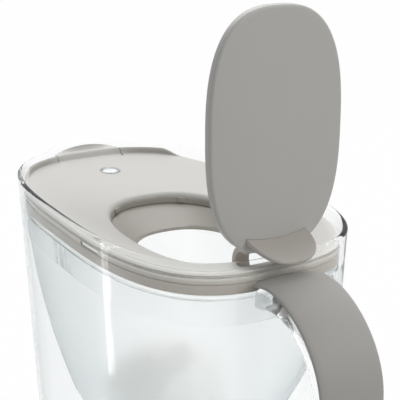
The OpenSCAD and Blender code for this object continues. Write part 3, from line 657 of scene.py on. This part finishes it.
clip_length = 0.018
clip_height = 0.0024
clip_shares = (-0.41, 0.31)
hole_wall = 0.0006
chute_curve = 1.12
chute_steps = 12
cut_round = 0.0006
cut_below = 0.005
cut_above = 0.025
ridge_half_width = 0.0545
ridge_fade = 0.009


def edge_reach(half_length, half_width, squareness, y):
    """Half length of a squared oval at the half width y."""
    return half_length * (1 - (min(abs(y), half_width) / half_width) ** squareness) ** (1 / squareness)


def mixed(ring_a, ring_b, share, height):
    return [Vector((lerp(p.x, q.x, share), lerp(p.y, q.y, share), height)) for p, q in zip(ring_a, ring_b)]


def round_edges(bm, edges, radius, steps=2):
    bmesh.ops.bevel(bm, geom=edges, offset=radius, segments=steps, profile=0.5, affect="EDGES", material=-1)


def block(low, high, bevel=0.0, segments=2):
    """A box with rounded edges as a bmesh, given by its lowest and highest corners."""
    bm = bmesh.new()
    bmesh.ops.create_cube(bm, size=1)
    low, high = Vector(low), Vector(high)
    bmesh.ops.scale(bm, vec=high - low, verts=bm.verts)
    bmesh.ops.translate(bm, vec=(low + high) / 2, verts=bm.verts)
    if bevel:
        round_edges(bm, bm.edges[:], bevel, segments)
    return bm


def rod(centre, radius, length, axis="Z", count=96):
    """A solid round bar as a bmesh, centred there and lying along an axis."""
    bm = bmesh.new()
    bmesh.ops.create_cone(bm, cap_ends=True, segments=count, radius1=radius, radius2=radius, depth=length)
    if axis == "Y":
        bmesh.ops.rotate(bm, matrix=Matrix.Rotation(math.pi / 2, 3, "X"), verts=bm.verts)
    bmesh.ops.translate(bm, vec=centre, verts=bm.verts)
    return bm


def cut_out(piece, cutters):
    """Cuts the cutters out of a piece, and keeps the result as the piece's mesh."""
    made = []
    for bm in cutters:
        bmesh.ops.recalc_face_normals(bm, faces=bm.faces)
        mesh = bpy.data.meshes.new("cutter")
        bm.to_mesh(mesh)
        bm.free()
        mesh.shade_smooth()
        mesh.set_sharp_from_angle(angle=math.radians(35))
        cutter = bpy.data.objects.new("cutter", mesh)
        bpy.context.scene.collection.objects.link(cutter)
        change = piece.modifiers.new("cut", "BOOLEAN")
        change.operation = "DIFFERENCE"
        change.solver = "EXACT"
        change.object = cutter
        made.append(cutter)
    bpy.context.view_layer.update()
    whole = piece.data
    piece.data = bpy.data.meshes.new_from_object(piece.evaluated_get(bpy.context.evaluated_depsgraph_get()))
    piece.modifiers.clear()
    piece.data.name = piece.name
    spare = [whole] + [cutter.data for cutter in made]
    for cutter in made:
        bpy.data.objects.remove(cutter)
    for mesh in spare:
        bpy.data.meshes.remove(mesh)
    while len(piece.data.materials) > 1:
        piece.data.materials.pop()
    piece.data.polygons.foreach_set("material_index", [0] * len(piece.data.polygons))
    piece.data.set_sharp_from_angle(angle=math.radians(35))


def on_both_sides(make):
    """The same shape at +Y and mirrored at -Y, each with the name of its side."""
    left = make()
    right = make()
    bmesh.ops.scale(right, vec=(1, -1, 1), verts=right.verts)
    bmesh.ops.reverse_faces(right, faces=right.faces)
    return [("left", left), ("right", right)]


def oval_facing(half_length, half_width, squareness, x, y):
    """The way that a squared oval's wall faces at one of its points, as a turn from +X."""
    n = squareness
    along = math.copysign(abs(x) ** (n - 1), x) / half_length ** n
    return math.atan2(math.copysign(abs(y) ** (n - 1), y) / half_width ** n, along)


def stand_at(bm, facing, place):
    """Turns a shape to face that way and moves it to its place."""
    bmesh.ops.rotate(bm, matrix=Matrix.Rotation(facing, 3, "Z"), verts=bm.verts)
    bmesh.ops.translate(bm, vec=place, verts=bm.verts)
    return bm


def at_clip(share, low, high, bevel):
    """A block set square to the skirt where a clip sits, at that share of the lid's half length."""
    height = seam_height + 0.0004
    lean = lean_in * (1 - height / rim_height)
    a, b = rim_half_length - lean - lid_inset, rim_half_width - lean - lid_inset
    x = share * rim_half_length
    y = edge_reach(b, a, rim_squareness, x)
    return stand_at(block(low, high, bevel), oval_facing(a, b, rim_squareness, x, y), (x, y, height))


def opening_ring(grow, height):
    """A ring of the fill opening, that far outside its edge."""
    half_length, half_width = opening_half_length + grow, opening_half_width + grow
    return level_oval(opening_x, half_length, half_width, opening_squareness, height)


def hole_ring(less, drop):
    """A ring of the fill hole at the chute's foot."""
    half_length, half_width = hole_half_length + hole_wall - less, hole_half_width + hole_wall - less
    return level_oval(hole_x, half_length, half_width, opening_squareness, hole_height - drop)


def skirt_ring(inset, height, rise=0.0, bulge=0.0):
    """A ring of the lid's edge. It rises with the ridge and swings out with the spout."""
    points = wall_ring(height, inset, 0)
    for p in points:
        if p.x < 0:
            p.z += rise * ease((ridge_half_width - abs(p.y)) / ridge_fade)
            p.x -= bulge * spout_bulge * spout_across(p.y)
    return points


foot_inset = lid_inset + 0.0001
band_top = seam_height - 0.0001
base_ledge = lid_wall + 0.0002
lid_floor = lid_foot + lid_wall
base_rings = [
    skirt_ring(foot_inset + 0.0005, lid_foot), skirt_ring(foot_inset + 0.0001, lid_foot + 0.0002),
    skirt_ring(foot_inset, lid_foot + 0.0006), skirt_ring(foot_inset, seam_height - 0.0004),
    skirt_ring(foot_inset + 0.0003, band_top), skirt_ring(foot_inset + lid_wall, band_top),
    skirt_ring(foot_inset + lid_wall, lid_floor), opening_ring(base_ledge, lid_floor),
    opening_ring(base_ledge, step_height - 0.0002), opening_ring(base_ledge - 0.0002, step_height),
    opening_ring(0.0005 - step_in, step_height),
]
step_ring = opening_ring(-step_in, step_height)
for step in range(chute_steps + 1):
    share = step / chute_steps
    height = lerp(step_height, hole_height, share ** chute_curve)
    base_rings.append(mixed(step_ring, hole_ring(0, 0), share, height))
base_rings += [
    hole_ring(0.0002, 0.0003), hole_ring(0.0006, 0.0006), hole_ring(0.0006, 0.0012),
    hole_ring(0.0003, 0.0016), hole_ring(-0.0008, 0.0018),
    opening_ring(0.001, step_height - lid_wall - 0.0004), opening_ring(0.0034, lid_foot),
]
# Painted shade: the cover's greige, made deeper for the band, the chute and the cheeks.
greige_under_painted_shade = moulded_plastic("satin_greige_under", (0.345, 0.318, 0.285), 0.42, 0.10)
base = loft(base_rings, hoop=True)
lid_underpart = add_piece(base, "lid_underpart", "lid", greige_under_painted_shade, ["lid_base"])

well_half = arm_outer + cheek_gap
well_front = hole_x + hole_half_length - 0.008
well_back = hinge_x + pin_radius + ear_wall + 0.001
spout_hinge_x = -(rim_half_length - border_inset - 0.004)
spout_end = -rim_half_length - spout_bulge
notch_half = spout_half_width / 2


def hinge_well(half):
    """The room that the lever's arms swing in, as a cutter of that half width."""
    low, high = (well_front, -half, hole_height - cut_below), (well_back, half, hole_height + cut_above)
    return block(low, high, cut_round)


notch_low = (spout_end, -notch_half, lid_foot - 0.001)
notch_high = (spout_hinge_x, notch_half, seam_height + 0.0053)
base_cuts = [
    hinge_well(well_half), block(notch_low, notch_high, cut_round),
    rod((indicator_x, 0, lid_foot), module_radius + 0.0003, 0.02),
]
cut_out(lid_underpart, base_cuts)


def hinge_cheek():
    """An upright ear with a round head, where a trunnion of the flip lid turns."""
    head = pin_radius + ear_wall
    ear_foot = lid_foot + 0.0003
    outline = [(hinge_x - head, hinge_height), (hinge_x - head, ear_foot), (hinge_x + head, ear_foot)]
    for step in range(16):
        turn = math.pi * step / 16
        outline.append((hinge_x + head * math.cos(turn), hinge_height + head * math.sin(turn)))
    bm = bmesh.new()
    face = bm.faces.new([bm.verts.new((x, well_half, z)) for x, z in outline])
    grown = bmesh.ops.extrude_face_region(bm, geom=[face])["geom"]
    outer = [item for item in grown if isinstance(item, bmesh.types.BMVert)]
    bmesh.ops.translate(bm, vec=(0, cheek_thickness, 0), verts=outer)
    bmesh.ops.recalc_face_normals(bm, faces=bm.faces)
    level = [e for e in bm.edges if abs(e.verts[0].co.y - e.verts[1].co.y) < 1e-6]
    round_edges(bm, [e for e in level if e.verts[0].co.z > lid_foot + 0.001], ear_round)
    return bm


for side, cheek in on_both_sides(hinge_cheek):
    ear = add_piece(cheek, "hinge_cheek_" + side, "lid", greige_under_painted_shade)
    cut_out(ear, [rod((hinge_x, 0, hinge_height), pin_radius + pin_gap, 0.05, "Y")])

tongue_in = -lid_wall - 0.0013
tongue_half = clip_length / 2 - 0.002
nose_half = clip_length / 2 - 0.0008
tongue = ((tongue_in, -tongue_half, -0.0024), (tongue_in + 0.0012, tongue_half, clip_height))
nose = ((-lid_wall - 0.0001, -nose_half, 0.0006), (-0.0005, nose_half, clip_height - 0.0002))
for number, share in enumerate(clip_shares):
    for part, (low, high) in (("tongue", tongue), ("nose", nose)):
        for side, bm in on_both_sides(lambda: at_clip(share, low, high, 0.0002)):
            add_piece(bm, f"clip_{part}_{side}_{number}", "lid", white_moulding)


# Lid cover. The dished top, moulded in one with its skirt, the ridge round the spout end and the round
# lip of the fill opening, in greige, with painted shade that makes the faces that stand upright deeper.
# It is cut out for the spout flap, the indicator, the clips and the hinge.
def store_flatness(piece):
    """Stores on each vertex how far its surface faces up."""
    flatness = piece.data.attributes.new("flatness", "FLOAT", "POINT")
    for vert in piece.data.vertices:
        flatness.data[vert.index].value = max(0, vert.normal.z)


def paint_shade_on_upright_faces(material, painted_shade_colour):
    """Painted shade: the faces that stand upright get a deeper tone than the flat top, by stored flatness."""
    tree = material.node_tree
    base_colour = tree.nodes["Principled BSDF"].inputs["Base Color"]
    flat_colour = base_colour.links[0].from_socket
    flatness = tree.nodes.new("ShaderNodeAttribute")
    flatness.attribute_name = "flatness"
    share = tree.nodes.new("ShaderNodeMapRange")
    share.interpolation_type = "SMOOTHSTEP"
    share.inputs["From Min"].default_value = 0.1
    share.inputs["From Max"].default_value = 0.85
    tree.links.new(flatness.outputs["Fac"], share.inputs["Value"])
    blend = tree.nodes.new("ShaderNodeMix")
    blend.data_type = "RGBA"
    blend.inputs[6].default_value = (*painted_shade_colour, 1)
    tree.links.new(share.outputs["Result"], blend.inputs[0])
    tree.links.new(flat_colour, blend.inputs[7])
    tree.links.new(blend.outputs[2], base_colour)


lip_radius = 0.0042
lip_start = math.radians(22)
ridge_height = 0.0039
ridge_swing = 0.35
dish_steps = 26
lip_steps = 10
under_steps = 4
dish_curve = 1.9
boss_turn = math.radians(148)
ridge_profile = (
    (0.0031, 0.35), (0.00315, 0.68), (0.0033, 0.86), (0.0036, 0.96), (0.0039, 1.0), (0.0043, 0.985),
    (0.0047, 0.90), (0.0051, 0.70), (0.00535, 0.46), (0.0056, 0.20), (0.00578, 0.05),
)


def surface_height(share):
    """Height of the dished top, from the lid's edge at 0 to the opening's lip at 1."""
    return lid_top - dish_depth * share ** dish_curve


groove = 0.0006
groove_profile = (
    (0, 0.0028), (groove, 0.0027), (groove, 0.0021), (0, 0.0020),
    (0, 0.0017), (groove, 0.0016), (groove, 0.0012),
)
cover_rings = [skirt_ring(lid_inset + 0.0004, seam_height), skirt_ring(lid_inset, seam_height + 0.0004)]
cover_rings += [skirt_ring(lid_inset + depth, lid_top - drop) for depth, drop in groove_profile]
for inset, rise in ridge_profile:
    settle = ease((inset - lid_inset) / 0.0012)
    height = lid_top - 0.0011 + 0.0009 * settle
    cover_rings.append(skirt_ring(inset, height, ridge_height * rise, ridge_swing * rise))
border = skirt_ring(border_inset, lid_top)
lip = opening_ring(lip_radius * (1 - math.sin(lip_start)), dish_foot)
lip_foot = dish_foot - lip_radius * math.cos(lip_start)
cover_rings.append(border)
for step in range(1, dish_steps):
    share = step / dish_steps
    cover_rings.append(mixed(border, lip, share, surface_height(share)))
for step in range(lip_steps + 1):
    turn = lerp(lip_start, math.pi / 2, step / lip_steps)
    off = lip_radius * (1 - math.sin(turn))
    cover_rings.append(opening_ring(off, lip_foot + lip_radius * math.cos(turn)))
cover_rings += [
    opening_ring(0, step_height + 0.0004), opening_ring(0.0003, step_height + 0.0001),
    opening_ring(lid_wall, step_height + 0.0001), opening_ring(lid_wall, lip_foot),
]
under_radius = lip_radius - lid_wall
for step in range(1, under_steps + 1):
    turn = lerp(math.pi / 2, lip_start, step / under_steps)
    off = lip_radius - under_radius * math.sin(turn)
    cover_rings.append(opening_ring(off, lip_foot + under_radius * math.cos(turn)))
for share in (0.85, 0.7, 0.5, 0.3, 0.12, 0.03):
    cover_rings.append(mixed(border, lip, share, surface_height(share) - lid_wall))
cover_rings += [
    skirt_ring(lid_inset + lid_wall, lid_top - 0.003, ridge_height * 0.6, 0.2),
    skirt_ring(lid_inset + lid_wall, seam_height),
]
# The cover's greige, with painted shade in a deeper greige on its upright faces.
greige_with_painted_shade = moulded_plastic("greige_with_painted_shade", (0.575, 0.565, 0.537), 0.42, 0.10)
paint_shade_on_upright_faces(greige_with_painted_shade, (0.375, 0.350, 0.315))
cover = loft(cover_rings, hoop=True)
lid_surface = add_piece(cover, "lid_surface", "lid", greige_with_painted_shade, ["lid_cover"])

spout_flap_half = 0.0217
spout_gap = 0.0004
window_half = spout_flap_half + spout_gap
barrel_radius = 0.0012
bezel_radius = 0.00655
window_low = (spout_end - 0.002, -window_half, seam_height - 0.001)
window_high = (spout_hinge_x + barrel_radius + spout_gap, window_half, lid_top + 0.01)
cover_cuts = [
    hinge_well(well_half + cheek_thickness + 0.0001), block(window_low, window_high),
    rod((indicator_x, 0, lid_top), bezel_radius + 0.00002, 0.012),
]
slot_low, slot_high = (-0.003, -clip_length / 2, 0), (0.003, clip_length / 2, clip_height)
for share in clip_shares:
    slots = on_both_sides(lambda: at_clip(share, slot_low, slot_high, 0.0004))
    cover_cuts += [slot for side, slot in slots]
cut_out(lid_surface, cover_cuts)
store_flatness(lid_surface)


def locking_boss():
    """A small rounded boss on the opening's wall that the shut flap snaps past."""
    oval = (opening_half_length, opening_half_width, opening_squareness)
    x, y = oval_point(*oval, boss_turn)
    bm = block((-0.0007, -0.0025, 0), (0.0009, 0.0025, 0.0032), 0.0004, 3)
    return stand_at(bm, oval_facing(*oval, x, y), (opening_x + x, y, step_height + 0.0006))


# The bosses store no flatness, so they take the painted shade's deeper greige all over.
for side, boss in on_both_sides(locking_boss):
    add_piece(boss, "locking_boss_" + side, "lid", greige_with_painted_shade)


# Spout flap. The loose middle of the ridge, with a flat shelf that reaches out over the spout. It hangs
# on a thin barrel along its inner edge and tips up when water runs.
flap_steps = 48
shelf_thickness = 0.0015
shelf_rise = 0.0034
spout_hinge_height = lid_top - 0.002
shelf_reach = 0.0009
flap_pin_radius = 0.0007
flap_pin_length = 0.0034


def oval_edge(inset, y):
    """X of the lid's spout end at the half width y, that far inside the rim."""
    return -edge_reach(rim_half_length - inset, rim_half_width - inset, rim_squareness, y)


flap_sections = []
for step in range(flap_steps + 1):
    y = lerp(-spout_flap_half, spout_flap_half, step / flap_steps)
    base_x = oval_edge(border_inset, y)
    top = [Vector((base_x, y, lid_top))]
    for inset, rise in reversed(ridge_profile[3:]):
        x = oval_edge(inset, y) - ridge_swing * rise * spout_bulge * spout_across(y)
        top.append(Vector((x, y, lid_top - 0.0002 + ridge_height * rise)))
    tip = oval_edge(jug_wall, y) - spout_bulge * spout_across(y) + shelf_reach
    crest, high = top[-1].x, top[-1].z
    lip_high = high + shelf_rise * math.cos(math.pi / 2 * y / spout_flap_half)
    for share in (0.15, 0.3, 0.5, 0.7, 0.9):
        settled = high - 0.0004 * ease(share / 0.3)
        top.append(Vector((lerp(crest, tip, share), y, lerp(settled, lip_high, share ** 1.3))))
    shelf_foot = -0.0002 - shelf_thickness
    under = [
        (tip + 0.0002, lip_high - 0.0001), (tip, lip_high - 0.0004), (tip, lip_high - 0.0011),
        (tip + 0.0004, lip_high + shelf_foot), (crest + 0.0005, high - 0.0001 + shelf_foot),
        (base_x + 0.0008, lid_top - 0.0021),
    ]
    for degrees in range(-110, 81, 19):
        turn = math.radians(degrees)
        x = spout_hinge_x + barrel_radius * math.cos(turn)
        under.append((x, spout_hinge_height + barrel_radius * math.sin(turn)))
    flap_sections.append(top + [Vector((x, y, z)) for x, z in under])
flap = loft(flap_sections)
# The flap's upright faces get the painted shade too. Its pins store no flatness, so they take the deeper
# greige all over.
store_flatness(add_piece(flap, "pour_flap_shell", "pour_flap", greige_with_painted_shade, ["spout_flap"]))
for side, end in (("left", 1), ("right", -1)):
    pin_middle = (spout_hinge_x, end * (spout_flap_half + 0.0014), spout_hinge_height)
    pin = rod(pin_middle, flap_pin_radius, flap_pin_length, "Y", 32)
    add_piece(pin, "pour_flap_pin_" + side, "pour_flap", greige_with_painted_shade)


# Indicator. A satin steel ring let into the lid round a milky white push button, over its sealed module.
# The module's white housing, board, lamps, switch, cell, clip, door and rubber seal keep their CAD shapes.
def bright_metal(name, colour, roughness):
    """Polished metal with faint handling marks in its tone and hazy fingerprints in its gloss."""
    material, tree, shader = new_finish(name)
    shader.inputs["Metallic"].default_value = 1
    haze = fleck(tree, 260, 4)
    tint_between(tree, haze, shade(colour, 0.9), colour)
    gloss_between(tree, haze, roughness, roughness + 0.12)
    return material


def turned(profile, centre, hoop=True, count=128):
    """A profile of (radius, height) points, spun about an upright axis as a hoop or from pole to pole."""
    bm = bmesh.new()
    verts = [bm.verts.new((radius, 0, height)) for radius, height in profile]
    edges = [bm.edges.new(pair) for pair in zip(verts, verts[1:])]
    if hoop:
        edges.append(bm.edges.new((verts[-1], verts[0])))
    bmesh.ops.spin(
        bm, geom=verts + edges, cent=(0, 0, 0), axis=(0, 0, 1), angle=math.tau, steps=count, use_merge=True
    )
    bmesh.ops.remove_doubles(bm, verts=bm.verts, dist=1e-7)
    bmesh.ops.translate(bm, vec=centre, verts=bm.verts)
    return bm


button_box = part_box("indicator_button")
bezel_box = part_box("indicator_bezel")
button_top = button_box[1].z
button_radius = (button_box[1].x - button_box[0].x) / 2
bezel_foot = bezel_box[0].z
bezel_top = bezel_box[1].z
bezel_inner = button_radius + 0.0003
steel = bright_metal("satin_steel", (0.33, 0.34, 0.35), 0.22)
bezel_profile = [
    (bezel_inner, bezel_foot), (bezel_radius, bezel_foot), (bezel_radius, bezel_top - 0.0003),
    (bezel_radius - 0.0001, bezel_top - 0.0001), (bezel_radius - 0.0003, bezel_top),
    (bezel_inner + 0.0003, bezel_top), (bezel_inner + 0.0001, bezel_top - 0.0001),
    (bezel_inner, bezel_top - 0.0003),
]
ring = turned(bezel_profile, (indicator_x, 0, 0))
add_piece(ring, "indicator_ring", "lid", steel, ["indicator_bezel"])

lit_white = moulded_plastic("lit_white", (0.90, 0.93, 0.93), 0.25, 0.03)
button_foot = button_box[0].z
stem_radius = 0.0014
skirt_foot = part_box("indicator_housing")[1].z - 0.0029
button_round = 0.0005
button_profile = [(0, button_foot), (stem_radius, button_foot)]
button_profile += [(stem_radius, skirt_foot), (button_radius, skirt_foot)]
for degrees in range(0, 90, 15):
    turn = math.radians(degrees)
    height = button_top - button_round + button_round * math.sin(turn)
    button_profile.append((button_radius * math.cos(turn), height))
button_profile.append((0, button_top))
button = turned(button_profile, (indicator_x, 0, 0), hoop=False)
add_piece(button, "push_button", "button", lit_white, ["indicator_button"])

finish_node(white_moulding, "indicator_housing", "battery_door")
finish_node(moulded_plastic("dark_rubber", (0.035, 0.037, 0.04), 0.6, 0.15, 1500), "door_seal")
finish_node(moulded_plastic("board_green", (0.02, 0.12, 0.05), 0.3, 0.05), "indicator_board")
finish_node(milky_plastic("lamp_resin", (0.85, 0.90, 0.75), (0.70, 0.75, 0.62), 0.4), "indicator_lamps")
finish_node(moulded_plastic("black_plastic", (0.02, 0.02, 0.022), 0.4, 0.08), "indicator_switch")
finish_node(steel, "coin_cell")
finish_node(bright_metal("spring_strip", (0.72, 0.62, 0.36), 0.25), "cell_clip")


# Flip lid's shell. A shallow domed tray over the fill opening, standing open on its stop. Its outer
# face is plain. Slots near its foot let the tab and the two arms of the lever through.
face_rise = 0.0063
flap_depth = 0.0052
flap_wall = 0.002
flap_dome = 0.0012
flap_squareness = 2.68
side_room = 0.0022
front_room = 0.0008
hinge_room = 0.0048
flap_half_length = opening_half_length - (side_room + front_room + hinge_room) / 2
flap_half_width = opening_half_width - side_room
flap_centre = opening_x - opening_half_length + side_room + front_room + flap_half_length - hinge_x
arm_width = arm_outer - arm_inner
arm_radius = 0.0076
arm_thickness = 0.003
arm_centre = (0.0004 - arm_radius, 0.0006)
pad_thickness = 0.0018
pad_top = face_rise - flap_wall - 0.0001
pad_length = 0.020
corner_inset = flap_wall + 0.0008
pad_end = flap_centre - 0.0003 + edge_reach(
    flap_half_length - corner_inset, flap_half_width - corner_inset, flap_squareness, arm_outer
)
tab_x = flap_centre + flap_half_length - 0.007
tab_tilt = math.radians(16)
tab_width = 0.033
tab_length = 0.0195
tab_thickness = 0.0022
tab_root = 0.0032
tab_sag = 0.0021
tray_points = 200
edge_radius = 0.0014
edge_steps = 6
blade_steps = 48
tip_steps = 12
slot_reach = 0.006


def stand_open(bm):
    """Turns a shape that was drawn shut about the hinge to where it stands when the lid is open."""
    bmesh.ops.rotate(bm, matrix=Matrix.Rotation(math.pi / 2, 3, "Y"), verts=bm.verts)
    bmesh.ops.translate(bm, vec=(hinge_x, 0, hinge_height), verts=bm.verts)
    return bm


def at_tab(bm):
    bmesh.ops.rotate(bm, matrix=Matrix.Rotation(tab_tilt, 3, "Y"), verts=bm.verts)
    bmesh.ops.translate(bm, vec=(tab_x, 0, face_rise), verts=bm.verts)
    return bm


def tray_ring(less, height):
    half_length, half_width = flap_half_length - less, flap_half_width - less
    return level_oval(flap_centre, half_length, half_width, flap_squareness, height, tray_points)


def domed_ring(share, height):
    """A ring of the domed face, at a share of the way from its middle to its edge."""
    half_length, half_width = flap_half_length * share, flap_half_width * share
    height += flap_dome * (1 - share * share)
    return level_oval(flap_centre, half_length, half_width, flap_squareness, height, tray_points)


dome_shares = [0.05, 0.12, 0.2, 0.3, 0.4, 0.5, 0.6, 0.7, 0.78, 0.85, 0.91, 0.95]
tray_foot = face_rise - flap_depth
tray_roof = face_rise - flap_wall
tray_rings = [domed_ring(share, face_rise) for share in dome_shares]
for step in range(edge_steps + 1):
    turn = math.pi / 2 * step / edge_steps
    drop = edge_radius * (1 - math.cos(turn))
    tray_rings.append(tray_ring(edge_radius * (1 - math.sin(turn)), face_rise - drop + 0.00005))
tray_rings += [
    tray_ring(0, tray_foot + 0.0006), tray_ring(0.0002, tray_foot + 0.0002), tray_ring(0.0006, tray_foot),
    tray_ring(flap_wall - 0.0003, tray_foot), tray_ring(flap_wall, tray_foot + 0.0003),
    tray_ring(flap_wall, tray_roof - 0.0008), tray_ring(flap_wall + 0.0003, tray_roof - 0.0003),
    tray_ring(flap_wall + 0.0008, tray_roof),
]
tray_rings += [domed_ring(share, tray_roof) for share in reversed(dome_shares[:-1])]
flap_plastic = moulded_plastic("satin_greige_flap", (0.575, 0.560, 0.528), 0.45, 0.10)
tray = stand_open(loft(tray_rings))
flap_tray = add_piece(tray, "flap_tray", "flip_lid", flap_plastic, ["flip_panel"])


def tab_blade(half, grow, foot, outline):
    """The thumb tab as a scoop: sections across its width, each with a round tip, that sag in the middle."""
    sections = []
    for step in range(blade_steps + 1):
        across = -half * math.cos(math.pi * step / blade_steps)
        radius = tab_thickness / 2 + grow
        middle = tab_sag * (1 - (across / half) ** 2) - tab_thickness / 2
        tip = max(outline(across) - radius, 0.0002 - foot)
        section = [(middle - radius, lerp(-foot, tip, part / 6)) for part in range(6)]
        for part in range(tip_steps + 1):
            turn = math.pi * part / tip_steps
            section.append((middle - radius * math.cos(turn), tip + radius * math.sin(turn)))
        section += [(middle + radius, lerp(tip, -foot, part / 6)) for part in range(1, 7)]
        sections.append([Vector((x, across, z)) for x, z in section])
    return stand_open(at_tab(loft(sections)))


slot_gap = 0.0002
tab_slot = tab_blade(tab_width / 2 + slot_gap, slot_gap, slot_reach, lambda across: slot_reach)
flap_cuts = [tab_slot]
for end in (1, -1):
    near, far = sorted((end * (arm_inner - slot_gap), end * (arm_outer + slot_gap)))
    arm_slot = block((pad_end - 0.002, near, pad_top - flap_depth), (pad_end + 0.02, far, pad_top + 0.0001))
    flap_cuts.append(stand_open(arm_slot))
cut_out(flap_tray, flap_cuts)


# Flip lid's lever. One soft-skinned moulding: the half-moon thumb tab, the pad that backs it inside the
# tray, two curved arms, and the trunnions that turn in the lid's cheeks.
lever_skin = soft_touch("soft_greige_lever", (0.560, 0.520, 0.475), 2600)
tab_squareness = 2.65
arm_round = 0.0004
arm_steps = 40
pin_points = 64


def tab_outline(across):
    return edge_reach(tab_length, tab_width / 2, tab_squareness, across)


tab = tab_blade(tab_width / 2, 0, tab_root, tab_outline)
add_piece(tab, "thumb_tab", "flip_lid", lever_skin, ["flip_lever"])

pad_low, pad_high = (pad_end - pad_length, -arm_outer, pad_top - pad_thickness), (pad_end, arm_outer, pad_top)
pad = block(pad_low, pad_high, 0.0003)
add_piece(stand_open(pad), "lever_pad", "flip_lid", lever_skin)


def sharp_edges(bm):
    return [e for e in bm.edges if e.calc_face_angle(0) > math.radians(60)]


def hinge_arm():
    """A flat bar that leaves the pad, curls down round the tray's edge and back up to the hinge."""
    centre_x, centre_z = arm_centre
    start = math.pi - math.asin((pad_top - pad_thickness / 2 - centre_z) / arm_radius)
    bm = bmesh.new()
    section = []
    for across, out in ((arm_inner, -1), (arm_outer, -1), (arm_outer, 1), (arm_inner, 1)):
        radius = arm_radius + out * arm_thickness / 2
        corner = (centre_x + radius * math.cos(start), across, centre_z + radius * math.sin(start))
        section.append(bm.verts.new(corner))
    face = bm.faces.new(section)
    sweep = math.tau - start - math.radians(4)
    bmesh.ops.spin(
        bm, geom=[face], cent=(centre_x, 0, centre_z), axis=(0, -1, 0), angle=sweep, steps=arm_steps,
        use_duplicate=False,
    )
    bmesh.ops.recalc_face_normals(bm, faces=bm.faces)
    round_edges(bm, sharp_edges(bm), arm_round, 3)
    return stand_open(bm)


for side, arm in on_both_sides(hinge_arm):
    add_piece(arm, "hinge_arm_" + side, "flip_lid", lever_skin)
for side, end in (("left", 1), ("right", -1)):
    hub_middle = (hinge_x, end * (arm_inner + arm_outer) / 2, hinge_height)
    hub = rod(hub_middle, pin_radius + ear_wall, arm_width, "Y", pin_points)
    round_edges(hub, sharp_edges(hub), ear_round)
    add_piece(hub, "hinge_hub_" + side, "flip_lid", lever_skin)
    pin_middle = (hinge_x, end * (arm_outer + cheek_thickness / 2), hinge_height)
    trunnion = rod(pin_middle, pin_radius, cheek_thickness + 0.0010, "Y", pin_points)
    add_piece(trunnion, "trunnion_" + side, "flip_lid", lever_skin)


bpy.context.scene.view_settings.view_transform = "Standard"
